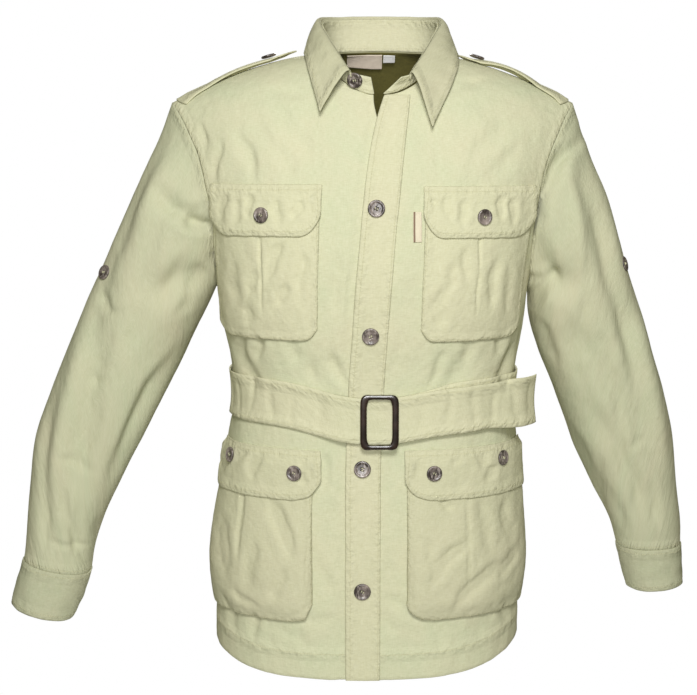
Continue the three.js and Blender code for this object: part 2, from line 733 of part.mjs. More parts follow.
function makeChestPocket(pocket) {
  const place = (s, z) => {
    const inner = chestEdge(pocket, 'In', z);
    return frontPlace(inner + (chestEdge(pocket, 'Out', z) - inner) * (0.02 + 0.96 * s), z);
  };
  const puff = (s, z) => {
    const down = clamp((pocket.top - bagStart - z) / (pocket.top - bagStart - pocket.low), 0, 1);
    return chestLift + chestPuff * plateau(s, 6) * plateau(down, 6);
  };
  const bagLow = (s) => pocket.low + cornerCut(s, 0.16, 14);
  const bagTop = pocket.top - bagStart;
  addMesh(`chest_pocket_${pocket.name}`, wallGeometry({
    columns: 8,
    rows: 7,
    place: (s, r) => place(s, bagTop + (bagLow(s) - bagTop) * r),
    outer: (s, r) => puff(s, bagTop + (bagLow(s) - bagTop) * r) + clothWall,
    inner: (s, r) => puff(s, bagTop + (bagLow(s) - bagTop) * r),
  }), 'cloth');
  const flapPlace = (s, r) => {
    const low = pocket.top - flapHeight + cornerCut(s, 0.19, 21);
    const z = pocket.top + (low - pocket.top) * r;
    const inner = chestEdge(pocket, 'In', z);
    return { place: frontPlace(inner + (chestEdge(pocket, 'Out', z) - inner) * s, z), z };
  };
  const over = (s, z) => puff(clamp(s, 0.1, 0.9), z) + flapOver;
  const under = (s, r) => (r === 0 ? flapSewn : over(s, flapPlace(s, r).z));
  addMesh(`chest_flap_${pocket.name}`, wallGeometry({
    columns: 8,
    rows: 3,
    place: (s, r) => flapPlace(s, r).place,
    outer: (s, r) => under(s, r) + clothWall,
    inner: under,
  }), 'cloth');
  const buttonZ = pocket.top - chestButtonDrop;
  const buttonLift = over(0.5, buttonZ) + clothWall + buttonGap;
  addButton(`chest_button_${pocket.name}`, frontPlace(pocket.buttonX, buttonZ), buttonLift, smallButton);
}

// Even steps of arc round a lower pocket, from its inner edge to its outer turn.
function lowerTurn(pocket, startX, share, height) {
  const start = Math.abs(turnFor(startX, height));
  const even = share - 0.1 * Math.sin(share * Math.PI * 2);
  return pocket.side * (start + (pocketOuterTurn - start) * even);
}

function makeLowerPocket(pocket) {
  const bagTop = pocket.top - bagStart;
  const bagLow = (s) => pocket.low + cornerCut(s, 0.15, 16);
  const heightAt = (s, r) => bagTop + (bagLow(s) - bagTop) * r;
  const puff = (s, height) => {
    const down = clamp((bagTop - height) / (bagTop - pocket.low), 0, 1);
    const close = 0.86 - 0.4 * smooth((s - 0.5) * 2);
    const fall = smooth((down - 0.1) * 1.6) * (1 - clamp((down - close) / (1 - close), 0, 1) ** 2);
    return lowerLift + (lowerStep + (lowerPuff - lowerStep) * fall) * plateau(s, 8);
  };
  addMesh(`lower_pocket_${pocket.name}`, wallGeometry({
    columns: 10,
    rows: 8,
    place: (s, r) => {
      const height = heightAt(s, r);
      return torsoPlace(lowerTurn(pocket, pocket.bagIn, s, height), height);
    },
    outer: (s, r) => puff(s, heightAt(s, r)) + clothWall,
    inner: (s, r) => puff(s, heightAt(s, r)),
  }), 'cloth');
  const flapZ = (s, r) => pocket.top + (-flapHeight + cornerCut(s, 0.15, 16)) * r;
  const over = (height) => puff(0.5, height) + flapOver;
  const under = (s, r) => (r === 0 ? flapSewn * 2 : over(flapZ(s, r)));
  addMesh(`lower_flap_${pocket.name}`, wallGeometry({
    columns: 10,
    rows: 3,
    place: (s, r) => torsoPlace(lowerTurn(pocket, pocket.flapIn, s * 1.02, flapZ(s, r)), flapZ(s, r)),
    outer: (s, r) => under(s, r) + clothWall,
    inner: under,
  }), 'cloth');
  const addLowerButton = (index, x, height) => {
    const lift = over(height) + clothWall + seamGap;
    const place = torsoPlace(turnFor(x, height), height);
    addButton(`lower_button_${pocket.name}_${index}`, place, lift, smallButton);
  };
  addLowerButton(1, pocket.innerX, pocket.top - lowerButtonDrop);
  addLowerButton(2, pocket.outerX, pocket.top - lowerButtonDrop + outerButtonRise);
}

// A dished button with a raised rim, standing on a place.
function addButton(name, { point, normal }, lift, diameter) {
  const rim = diameter / 2;
  const profile = [
    [0, 0],
    [rim * 0.86, 0],
    [rim, 0.8],
    [rim, 2.1],
    [rim * 0.86, 2.9],
    [rim * 0.64, 2.2],
    [0, 2.2],
  ];
  const outline = profile.map(([radius, height]) => new THREE.Vector2(radius, height));
  const mesh = addMesh(name, new THREE.LatheGeometry(outline, buttonSides), 'horn');
  mesh.quaternion.setFromUnitVectors(new THREE.Vector3(0, 1, 0), normal);
  mesh.position.copy(point).addScaledVector(normal, lift);
}

const frontButtons = [
  { x: 2, z: -177 },
  { x: -4, z: -320 },
  { x: -13, z: -475 },
  { x: -13, z: -618 },
];

function makeFrontButtons() {
  frontButtons.forEach(({ x, z }, index) => {
    const lift = placketLift + clothWall + seamGap;
    addButton(`front_button_${index + 1}`, frontPlace(x, z), lift, frontButton);
  });
}

// The belt goes once round from under the buckle, then on over itself to a loose tail.
const beltStart = 4.5;
const beltEnd = 360 + 77;
const beltUnder = 2.4;
const beltOver = 6.4;
const tailFlare = 20;
const tailDrop = 6;
const tailWiden = 5;
const beltSteps = 62;

// Height of the belt's middle line, which dips at the buckle.
function beltMiddle(turn) {
  const aside = ((turn + 180) % 360) - 180;
  return beltRound + (beltFront - beltRound) * Math.exp(-((aside / beltDipWidth) ** 2));
}

function makeBelt() {
  const turnAt = (s) => beltStart + (beltEnd - beltStart) * s;
  const layer = (turn) => {
    const rise = smooth((turn - 338) / 14);
    const flare = smooth((turn - 404) / 34) * tailFlare;
    return beltUnder + (beltOver - beltUnder) * rise + flare;
  };
  addMesh('belt', wallGeometry({
    columns: beltSteps,
    rows: 2,
    place: (s, r) => {
      const turn = turnAt(s);
      const drop = tailDrop * smooth((turn - 370) / 25);
      const width = beltWidth + tailWiden * smooth((turn - 405) / 20);
      const { point, normal } = torsoPlace(turn, beltMiddle(turn) - drop + width * (0.5 - r));
      return { point, normal: normal.setZ(0).normalize() };
    },
    outer: (s) => layer(turnAt(s)) + beltThickness,
    inner: (s) => layer(turnAt(s)),
  }), 'belt');
}

// A rounded frame round the belt's upper layer, with a bar behind it that carries the lower end.
const buckle = { width: 44, height: 63, side: 7.5, ends: 5, thick: 4, corner: 7, hole: 4, turn: 0.9 };
const buckleLift = 2.4;
const bar = { width: 3, thick: 2.6, behind: 6.4, post: 9.6 };

function roundedOutline(shape, width, height, radius) {
  const x = width / 2;
  const y = height / 2;
  shape.moveTo(-x + radius, -y);
  shape.lineTo(x - radius, -y);
  shape.absarc(x - radius, -y + radius, radius, -Math.PI / 2, 0);
  shape.lineTo(x, y - radius);
  shape.absarc(x - radius, y - radius, radius, 0, Math.PI / 2);
  shape.lineTo(-x + radius, y);
  shape.absarc(-x + radius, y - radius, radius, Math.PI / 2, Math.PI);
  shape.lineTo(-x, -y + radius);
  shape.absarc(-x + radius, -y + radius, radius, Math.PI, Math.PI * 1.5);
  return shape;
}

function toSolid(geometry) {
  const plain = geometry.index ? geometry.toNonIndexed() : geometry;
  const positions = plain.attributes.position.array;
  const keys = new Map();
  const points = [];
  const faces = [];
  for (let i = 0; i < positions.length; i += 3) {
    const corner = [positions[i], positions[i + 1], positions[i + 2]];
    const key = corner.map((value) => value.toFixed(3)).join(' ');
    if (!keys.has(key)) {
      keys.set(key, points.length / 3);
      points.push(...corner);
    }
    faces.push(keys.get(key));
  }
  const mesh = { numProp: 3, vertProperties: new Float32Array(points), triVerts: new Uint32Array(faces) };
  return new wasm.Manifold(new wasm.Mesh(mesh));
}

function fromSolid(solid) {
  const mesh = solid.getMesh();
  const geometry = new THREE.BufferGeometry();
  geometry.setAttribute('position', new THREE.Float32BufferAttribute(mesh.vertProperties, 3));
  geometry.setIndex(Array.from(mesh.triVerts));
  return geometry;
}

function makeBuckle() {
  const holeHeight = buckle.height - 2 * buckle.ends;
  const outline = roundedOutline(new THREE.Shape(), buckle.width, buckle.height, buckle.corner);
  outline.holes.push(roundedOutline(new THREE.Path(), buckle.width - 2 * buckle.side, holeHeight, buckle.hole));
  const depth = { depth: buckle.thick, curveSegments: 4, bevelEnabled: false };
  const crossbar = new THREE.BoxGeometry(bar.width, holeHeight + 4, bar.thick).translate(0, 0, -bar.behind);
  const post = (end) => {
    const box = new THREE.BoxGeometry(bar.width, bar.width, bar.post);
    return toSolid(box.translate(0, end * (holeHeight / 2 + 1.4), -2.9));
  };
  const frame = toSolid(new THREE.ExtrudeGeometry(outline, depth));
  const joined = frame.add(toSolid(crossbar)).add(post(1)).add(post(-1));
  const mesh = addMesh('buckle', fromSolid(joined), 'buckle');
  const { point, normal } = torsoPlace(buckle.turn, beltMiddle(buckle.turn));
  normal.setZ(0).normalize();
  const up = new THREE.Vector3(0, 0, 1);
  const basis = new THREE.Matrix4().makeBasis(up.clone().cross(normal), up, normal);
  mesh.quaternion.setFromRotationMatrix(basis);
  mesh.position.copy(point).addScaledVector(normal, beltOver + beltThickness + buckleLift);
}

// Narrow cloth loops that carry the belt behind the side seams.
const beltLoops = [
  { name: 'right', turn: -116 },
  { name: 'left', turn: 116 },
];

const loopLength = beltWidth + 20;
const loopTurn = 4;

function makeBeltLoop({ name, turn }) {
  const bow = (r) => (r < 0.1 || r > 0.9 ? 0.4 : beltUnder + beltThickness + 1.2);
  addMesh(`belt_loop_${name}`, wallGeometry({
    columns: 1,
    rows: 8,
    place: (s, r) => torsoPlace(turn + (s - 0.5) * loopTurn, beltMiddle(turn) + loopLength * (0.5 - r)),
    outer: (s, r) => bow(r) + clothWall,
    inner: (s, r) => bow(r),
  }), 'cloth');
}

// Shoulder straps from the sleeve seam to a pointed end, bowed up off the shoulder.
const epaulettes = [
  { name: 'right', side: -1, tip: 90, lift: 2.5, tipLift: 4 },
  { name: 'left', side: 1, tip: 96, lift: 5, tipLift: 1 },
];
const strapStart = 232;
const strapHalfStart = 24;
const strapHalfEnd = 19;
const strapPoint = 14;
const strapSeamCurve = 13;
const strapButtonX = 122;

function makeEpaulette({ name, side, tip, lift, tipLift }) {
  const along = (s, r) => {
    const aside = Math.abs(2 * r - 1);
    const start = strapStart - strapSeamCurve * aside ** 2;
    return start + (tip + strapPoint * aside ** 1.5 - start) * s;
  };
  const half = (s) => strapHalfStart + (strapHalfEnd - strapHalfStart) * s;
  const bow = (s) => 1.6 + lift * Math.sin(clamp((s - 0.25) / 0.6, 0, 1) * Math.PI) + tipLift * s ** 4;
  const place = (s, r) => shoulderPlace(side * along(s, r), half(s) * (2 * r - 1) - 2);
  addMesh(`epaulette_${name}`, wallGeometry({
    columns: 10,
    rows: 4,
    place,
    outer: (s) => bow(s) + clothWall,
    inner: (s) => bow(s),
  }), 'cloth');
  const share = (strapStart - strapButtonX) / (strapStart - tip);
  addButton(`epaulette_button_${name}`, place(share, 0.5), bow(share) + clothWall + 1.2, smallButton);
}

// Collar curves through the stations.
function collarCurve(reader) {
  return new THREE.CatmullRomCurve3(collarStations.map(reader), false, 'centripetal');
}

const aroundNeck = (x, y, z) => new THREE.Vector3(x + neckMiddle, y, z);
const foldCurve = collarCurve(({ foldX, foldY, foldZ }) => aroundNeck(foldX, foldY, foldZ));
const edgeCurve = collarCurve(({ edgeX, edgeY, edgeZ }) => aroundNeck(edgeX, edgeY, edgeZ));
const collarColumns = 20;
const leafRoll = 7;

// The leaf rolls over the fold and falls outward to its free edge.
function leafPoint(s, r) {
  const fold = foldCurve.getPoint(s);
  const edge = edgeCurve.getPoint(s);
  const outward = new THREE.Vector3(edge.x - fold.x, edge.y - fold.y, 0).normalize();
  const bulge = Math.sin(Math.PI * Math.sqrt(r)) * leafRoll;
  const up = new THREE.Vector3(0, 0, 1);
  return fold.lerp(edge, r).addScaledVector(outward, bulge * 0.5).addScaledVector(up, bulge * 0.35);
}

function makeLeaf() {
  addMesh('collar_leaf', wallGeometry({
    columns: collarColumns,
    rows: 6,
    place: (s, r) => {
      const point = leafPoint(s, r);
      const centre = new THREE.Vector3(neckMiddle, neckAxis, -40);
      const outward = point.clone().sub(centre);
      const inside = clamp(s, 0.01, 0.99);
      return { point, normal: normalOf(leafPoint, inside, clamp(r, 0.06, 0.97), 0.01, 0.03, outward) };
    },
    outer: () => clothWall / 2,
    inner: () => -clothWall / 2,
  }), 'cloth');
}

// The stand rises from the neck seam to just under the fold, with its two ends in front.
const standEnds = {
  right: new THREE.Vector3(-4, -84, -31),
  left: new THREE.Vector3(31, -88, -31),
};

// Neck seam from the wearer's right edge round the back to the left edge.
function neckSeam(t) {
  const quarter = t * 4;
  if (quarter < 1) return frontNeck(-1, quarter);
  if (quarter > 3) return frontNeck(1, 4 - quarter);
  return backNeck((quarter - 1) / 2);
}

const standLap = 0.07;
const standFoot = 0.9;
const standLift = 0.2;
const standInside = 3.4;
const standColumns = 24;
const standButton = { share: 0.05, rise: 0.62, lift: 0.6 };

function standTop(t) {
  const inside = foldCurve.getPoint(clamp((t - standLap) / (1 - 2 * standLap), 0, 1));
  const centre = new THREE.Vector3(neckMiddle, inside.y * 0.3, inside.z);
  inside.addScaledVector(centre.sub(inside).normalize(), standInside);
  inside.z -= standInside;
  if (t < standLap) return standEnds.right.clone().lerp(inside, smooth(t / standLap));
  if (t > 1 - standLap) return standEnds.left.clone().lerp(inside, smooth((1 - t) / standLap));
  return inside;
}

function standPoint(t, r) {
  const { turn, height } = neckSeam(t);
  const foot = plainTorso(turn, height, 0);
  foot.z += standFoot;
  return foot.lerp(standTop(t), r);
}

function makeStand() {
  addMesh('collar_stand', wallGeometry({
    columns: standColumns,
    rows: 2,
    place: (s, r) => {
      const point = standPoint(s, r);
      const outward = point.clone().sub(new THREE.Vector3(neckMiddle, neckAxis, point.z));
      const normal = normalOf(standPoint, clamp(s, 0.02, 0.98), clamp(r, 0.1, 0.9), 0.02, 0.1, outward);
      return { point, normal };
    },
    outer: () => standLift,
    inner: () => standLift - clothWall,
  }), 'cloth');
  const { share, rise, lift } = standButton;
  const forward = new THREE.Vector3(0, -1, 0);
  const normal = normalOf(standPoint, share, rise, 0.02, 0.1, forward);
  addButton('stand_button', { point: standPoint(share, rise), normal }, lift, smallButton);
}

// Blank labels inside the back of the neck and a tab at the edge of the left chest pocket.
const neckLabels = [
  { name: 'neck_label', left: -31, right: 12, drop: 15, inside: 3.9, finish: 'label' },
  { name: 'size_label', left: 14, right: 28, drop: 8, inside: 4.6, finish: 'sizeLabel' },
];

function makeNeckLabel({ name, left, right, drop, inside, finish }) {
  addMesh(name, wallGeometry({
    columns: 3,
    rows: 2,
    place: (s, r) => {
      const x = left + (right - left) * s;
      const share = Math.acos(clamp((neckMiddle - x) / neckHalfWidth, -1, 1)) / Math.PI;
      const top = backNeck(share);
      return torsoPlace(top.turn, top.height - 0.6 - drop * r);
    },
    outer: () => -inside,
    inner: () => -inside - 0.8,
  }), finish);
}

function makeTabLabel() {
  const tab = { left: 43.5, right: 52.5, top: -181, low: -214 };
  addMesh('pocket_tab_label', wallGeometry({
    columns: 1,
    rows: 2,
    place: (s, r) => frontPlace(tab.left + (tab.right - tab.left) * s, tab.top + (tab.low - tab.top) * r),
    outer: () => 1.4,
    inner: () => 0.5,
  }), 'label');
}

// Buttons on the outer side of each sleeve and on the back of each cuff.
const rightSleeveButton = { turn: 27, step: 3.55, lift: 0.3 };
const leftSleeveButton = { turn: 27, step: 3.4, lift: 0.3 };
const cuffButton = { turn: 300, step: 1.1, lift: 1.6 };

function addSleeveButton(name, sections, folds, { turn, step, lift }) {
  const surface = (a, b) => sleevePoint(sections, folds, a, b);
  const point = surface(turn, step);
  const outward = point.clone().sub(surface(turn + 180, step));
  addButton(name, { point, normal: normalOf(surface, turn, step, 4, 0.08, outward) }, lift, smallButton);
}

makeFrontRight();
makeFrontLeft();
makeBack();
makeSleeve('sleeve_right', -1, sleeveRightSections, sleeveRightFolds);
makeSleeve('sleeve_left', 1, sleeveLeftSections, sleeveLeftFolds);
makeCuff('cuff_right', cuffRightSections);
makeCuff('cuff_left', cuffLeftSections);
makePlacket();
makeStand();
makeLeaf();
chestPockets.forEach(makeChestPocket);
lowerPockets.forEach(makeLowerPocket);
makeFrontButtons();
makeBelt();
makeBuckle();
beltLoops.forEach(makeBeltLoop);
epaulettes.forEach(makeEpaulette);
neckLabels.forEach(makeNeckLabel);
makeTabLabel();
addSleeveButton('sleeve_button_right', sleeveRightSections, sleeveRightFolds, rightSleeveButton);
addSleeveButton('sleeve_button_left', sleeveLeftSections, sleeveLeftFolds, leftSleeveButton);
addSleeveButton('cuff_button_right', cuffRightSections, [], cuffButton);
addSleeveButton('cuff_button_left', cuffLeftSections, [], cuffButton);

export default jacket;
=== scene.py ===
import math

import bpy
import numpy as np
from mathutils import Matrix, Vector


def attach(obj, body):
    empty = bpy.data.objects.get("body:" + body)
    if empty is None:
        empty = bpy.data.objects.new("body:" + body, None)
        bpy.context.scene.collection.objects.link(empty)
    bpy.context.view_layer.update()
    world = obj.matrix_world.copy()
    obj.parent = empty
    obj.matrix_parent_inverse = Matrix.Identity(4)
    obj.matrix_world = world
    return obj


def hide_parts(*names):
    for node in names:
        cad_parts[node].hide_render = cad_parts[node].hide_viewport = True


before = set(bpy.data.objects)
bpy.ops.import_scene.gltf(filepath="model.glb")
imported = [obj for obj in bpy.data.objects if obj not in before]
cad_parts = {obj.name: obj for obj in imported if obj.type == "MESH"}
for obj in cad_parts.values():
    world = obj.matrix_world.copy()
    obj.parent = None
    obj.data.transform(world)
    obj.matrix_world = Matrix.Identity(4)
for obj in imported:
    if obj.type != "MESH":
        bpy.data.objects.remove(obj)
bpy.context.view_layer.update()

mm = 0.001
scene = bpy.context.scene

# Camera, where the photograph was taken from
cameraSet = {
    "place": (-0.029, -1.7, -0.112), "down": 8.0, "focal": 1405.0, "imageWidth": 697.0, "sensor": 36.0,
}


# lens in mm = focal in pixels * sensor / image width
def makeCamera(c):
    data = bpy.data.cameras.new("camera")
    data.sensor_width = c["sensor"]
    data.lens = c["focal"] * c["sensor"] / c["imageWidth"]
    data.clip_end = 50
    camera = bpy.data.objects.new("camera", data)
    camera.location = c["place"]
    camera.rotation_euler = (math.radians(90 - c["down"]), 0, 0)
    scene.collection.objects.link(camera)
    scene.camera = camera


makeCamera(cameraSet)
print("camera done")


# Numbers and shapes. Lengths below are millimetres until a mesh is made. A surface is worked out
# from s, which runs across a piece from 0 to 1, and r, which runs along it from 0 to 1.
def table(columns, *rows):  # short rows with named columns
    return dict(zip(columns.split(), np.array(rows, float).T))


def smooth(value):  # 0 to 1 with level ends
    t = np.clip(value, 0, 1)
    return t * t * (3 - 2 * t)


def swell(value, power):  # signed power, which squares a ring
    return np.sign(value) * np.abs(value) ** power


def ramp(value, start, over):  # 0 before start and 1 from start + over on
    return smooth((value - start) / over)


# v / |v|, and a short one left near nothing
def unit(v):
    return v / np.maximum(np.linalg.norm(v, axis=-1, keepdims=True), 1e-9)


def point(x, y, z):  # three arrays as one array of places
    return np.stack(np.broadcast_arrays(x, y, z), axis=-1).astype(float)


def dot(a, b):  # the sum of products, kept as a last axis of one
    return np.sum(a * b, axis=-1, keepdims=True)


def fromTable(rows, key, at, column):  # a cubic through the column's values
    keys, values = rows[key], rows[column]
    i = np.clip(np.searchsorted(keys, at) - 1, 0, len(keys) - 2)
    b, a = np.maximum(i - 1, 0), np.minimum(i + 2, len(keys) - 1)
    span = keys[i + 1] - keys[i]
    t = np.clip((at - keys[i]) / span, 0, 1)
    rise = (values[i + 1] - values[b]) / (keys[i + 1] - keys[b]) * span
    fall = (values[a] - values[i]) / (keys[a] - keys[i]) * span
    return ((2 * t**3 - 3 * t**2 + 1) * values[i] + (t**3 - 2 * t**2 + t) * rise
            + (3 * t**2 - 2 * t**3) * values[i + 1] + (t**3 - t**2) * fall)


# A trough or ridge along a straight run, with soft ends: depth * ends * exp(-(aside / width)^2)
def foldDepth(across, along, folds):
    depth = 0
    for a0, b0, a1, b1, width, deep in folds:
        runA, runB = a1 - a0, b1 - b0
        length = math.hypot(runA, runB)
        share = ((across - a0) * runA + (along - b0) * runB) / length**2
        aside = ((across - a0) * runB - (along - b0) * runA) / length
        ends = smooth((share + 0.25) / 0.5) * smooth((1.25 - share) / 0.5)
        depth = depth + deep * ends * np.exp(-((aside / width) ** 2))
    return depth


creaseGain = 1.35  # how much deeper creases are made than their tables say


# A crease: a trough with a soft ridge on each side, bowed by bow and wandering a little.
# depth * taper * ((1 - lip * q) * exp(-q)), with q = (aside / width)^2
def creaseDepth(across, along, creases, lip=0.9):
    depth = 0
    for a0, b0, a1, b1, bow, width, deep in creases:
        runA, runB = a1 - a0, b1 - b0
        length = math.hypot(runA, runB)
        share = ((across - a0) * runA + (along - b0) * runB) / length**2
        aside = ((across - a0) * runB - (along - b0) * runA) / length
        wander = bow * np.sin(np.clip(share, -0.2, 1.2) * math.pi) + 0.12 * width * np.sin(share * 9 + a0)
        taper = smooth((share + 0.12) / 0.4) * smooth((1.12 - share) / 0.5)
        q = ((aside - wander) / (width * (0.65 + 0.35 * taper))) ** 2
        depth = depth + creaseGain * deep * taper * (1 - lip * q) * np.exp(-q)
    return depth


uneven = {
    "waves": 9, "stretch": (1.25, 0.7, 0.7), "shortest": 0.6, "longest": 1.9, "phase": 6.28, "share": 4,
}
# height, seed and size of each layer of waves on a piece
bodyWaves = [(0.75, 3, 44), (0.22, 4, 15)]
sleeveWaves = [(0.4, 8, 60), (0.08, 4, 17)]
cuffWaves = [(0.55, 5, 24)]
leafWaves = [(0.55, 12, 24)]


# Soft unevenness of hanging cloth: sine waves along several directions in space, added up
def unevenness(place, seed, size):
    rng = np.random.default_rng(seed)
    total = 0
    for _ in range(uneven["waves"]):
        direction = rng.normal(size=3) * np.array(uneven["stretch"])
        direction = direction / np.linalg.norm(direction)
        wave = 2 * math.pi / (size * rng.uniform(uneven["shortest"], uneven["longest"]))
        total = total + np.sin(place @ direction * wave + rng.uniform(0, uneven["phase"]))
    return total / uneven["share"]


def crumpled(place, layers):  # the layers' waves, each times its height, added up
    return sum(height * unevenness(place, seed, size) for height, seed, size in layers)


# Body form: rounded-square rings up to the armpits, then a crown up to the shoulder ridge
body = {
    "squareness": 2.4, "armpit": -268, "hemFront": -726, "hemSide": -708, "hemTilt": 9,
    "crown": 2.2, "shoulderTip": 238, "shoulderStart": 70, "shoulderSlope": 0.0257,
    "nape": 25, "napeHalf": 100,
    "underarm": 187, "frontHollow": 3.1, "backHollow": 2.2, "chest": 130, "backDepth": 125.5, "wall": 1.6,
    "neckMiddle": 8, "neckHalf": 75, "neckFront": 82, "neckBack": 50, "neckRight": -0.5, "neckLeft": 11,
    "placketLeft": 20, "placketRight": 19, "underlap": 18, "neckSplit": -177, "perDegree": 2.6,
}
torso = table(
    "height halfWidth front back middle",
    (-740, 187, 126, 119, -6),
    (-650, 187, 127, 120, -6),
    (-580, 185, 127, 121, -5),
    (-510, 182, 124, 119, -2),
    (-455, 176, 120.5, 114, 0),
    (-408, 169, 120, 107, 1),
    (-362, 173, 122, 116, 1),
    (-318, 181, 128, 123, 0),
    (-268, 187, 131, 126, 0),
    (-201, 197, 130, 128, 0),
    (-134, 216, 130, 128, 0),
    (-67, 231, 130, 126, 0),
    (0, 246, 130, 125, 0),
)
# turn from the centre front, height, their ends, width and depth of each large fold
torsoFolds = [
    (-98, -285, -92, -350, 14, -7),
    (97, -280, 91, -350, 14, -7),
    (-64, -342, -50, -385, 13, -5),
    (68, -342, 56, -385, 13, -5),
    (34, -345, 24, -385, 13, -4),
    (118, -240, 150, -350, 20, -7),
    (-116, -250, -148, -360, 22, -7),
    (165, -300, 172, -388, 16, -5),
    (-160, -318, -164, -390, 15, -5),
    (140, -430, 150, -600, 20, -6),
    (-142, -432, -156, -570, 20, -6),
    (180, -436, 182, -640, 18, -5),
]
# x, z, end x, end z, bow, width and depth of each crease that shows, first in front and then behind
frontCreases = [
    (-174, -103, -184, -149, 3, 7, -2.6), (-157, -92, -134, -149, -4, 9, -2.4),
    (-133, -88, -86, -149, -5, 11, -1.8), (-115, -57, -65, -123, 6, 13, -1.8),
    (-212, -62, -186, -56, 1, 4, -1.6), (-209, -70, -193, -66, 1, 4, -1.4),
    (-203, -81, -195, -112, -2, 5, -1.8), (-127, -38, -78, -49, 3, 7, -1.6),
    (-124, -49, -83, -53, -2, 6, -1.2), (-103, -65, -87, -88, 2, 8, -1.2),
    (-41, -229, -43, -300, 2, 9, -2), (-28, -241, -31, -300, -2, 8, -1.6),
    (-131, -323, -136, -355, 1, 9, -3), (-156, -320, -151, -350, 1, 8, -2.2),
    (-95, -325, -89, -357, -1, 9, -1.6), (-50, -338, -30, -380, 3, 8, -3),
    (-73, -350, -69, -375, 1, 7, -1.8), (80, -338, 65, -378, -2, 8, -2.4),
    (108, -325, 112, -355, 1, 9, -2.4), (150, -323, 146, -350, 1, 8, -2.4),
    (33, -313, 27, -361, 2, 8, -1.4), (90, -34, 136, -30, 2, 5, -2), (85, -47, 129, -34, -2, 6, -1.8),
    (105, -62, 160, -49, 3, 9, -1.3), (119, -147, 168, -105, 4, 12, -1.6),
    (106, -121, 181, -73, -5, 13, -1.5), (200, -61, 218, -69, 1, 4, -1.6),
    (196, -70, 212, -79, 1, 4, -1.4), (39, -79, 106, -132, 6, 14, -1.2), (11, -90, -3, -156, 2, 8, -1.1),
    (20, -178, 15, -243, -2, 9, -1.3), (-55, -458, -56, -503, 1, 8, -1.8),
    (-47, -510, -54, -582, -3, 9, -1.5), (-63, -582, -44, -627, 3, 9, -1.4),
    (-85, -656, -41, -649, 2, 8, -1.6), (-137, -644, -142, -688, 1, 8, -2.4),
    (-169, -629, -165, -688, 2, 8, -1.8), (-113, -668, -67, -690, -3, 9, -1.2),
    (16, -625, 57, -658, -3, 9, -2), (9, -642, 31, -673, 2, 8, -1.6), (69, -656, 85, -692, 1, 9, -1.4),
    (13, -475, 19, -558, 2, 9, -1.4), (21, -582, 17, -617, 1, 7, -1.2), (112, -658, 131, -678, 2, 8, -1.2),
    (147, -629, 162, -678, -2, 9, -1.6),
]
backCreases = [
    (-178, -120, -150, -215, 5, 11, -3.4), (180, -118, 156, -210, -6, 12, -3.2),
    (-120, -96, -64, -128, 6, 12, -2.2), (118, -98, 58, -132, -5, 13, -2.0),
    (-20, -92, -34, -180, 4, 13, -1.6), (46, -110, 40, -210, -4, 14, -1.5),
    (-96, -210, -118, -300, 6, 12, -2.0), (104, -200, 122, -306, -5, 12, -2.2),
    (-60, -300, -44, -388, 3, 10, -3.2), (-96, -318, -90, -386, -3, 9, -2.6),
    (4, -330, -2, -388, 2, 11, -2.8), (52, -306, 44, -386, -3, 10, -3.0),
    (96, -322, 88, -388, 3, 9, -2.6), (-130, -336, -124, -386, 2, 9, -2.2),
    (134, -330, 128, -384, -2, 9, -2.4), (-72, -440, -84, -560, 5, 12, -2.8),
    (-28, -440, -24, -530, -3, 11, -2.4), (22, -438, 30, -600, 5, 13, -2.8),
    (74, -440, 70, -520, -4, 10, -2.4), (118, -442, 130, -590, 4, 12, -2.4),
    (-122, -440, -134, -600, -5, 12, -2.6), (-50, -600, -58, -690, 3, 12, -1.8),
    (60, -610, 52, -694, -3, 12, -1.8), (0, -560, 6, -660, 3, 13, -1.6),
]
pocketCreases = [
    (-102, -215, -119, -260, 2, 8, -2.2), (-97, -260, -110, -287, -2, 8, -1.6),
    (-144, -274, -130, -243, 2, 8, -1.6), (-140, -312, -144, -283, 1, 9, -1.4),
    (-159, -236, -153, -292, 2, 9, -1.3), (-79, -222, -83, -278, -2, 8, -1.2),
    (73, -263, 76, -312, 2, 9, -1.6), (87, -236, 80, -274, -1, 8, -1.2),
    (137, -236, 132, -292, 2, 8, -1.6), (153, -240, 150, -299, -1, 7, -1.2),
    (98, -222, 103, -260, 1, 8, -1.2), (62, -278, 69, -312, -2, 8, -1.2),
    (-121, -514, -94, -579, -4, 10, -2.2), (-107, -520, -87, -579, 3, 9, -1.4),
    (-135, -565, -143, -622, -2, 9, -1.8), (-99, -591, -113, -634, 2, 9, -1.6),
    (-170, -544, -163, -615, 3, 9, -2.2), (-159, -627, -129, -641, 2, 7, -1.4),
    (77, -511, 91, -522, 2, 6, -2), (104, -561, 62, -610, 4, 10, -2.4), (146, -591, 87, -644, 5, 10, -2.4),
    (159, -579, 139, -612, -2, 8, -2), (121, -514, 129, -579, -2, 9, -1.5),
    (150, -522, 158, -574, 2, 8, -1.8), (59, -555, 67, -603, -2, 8, -1.3),
]
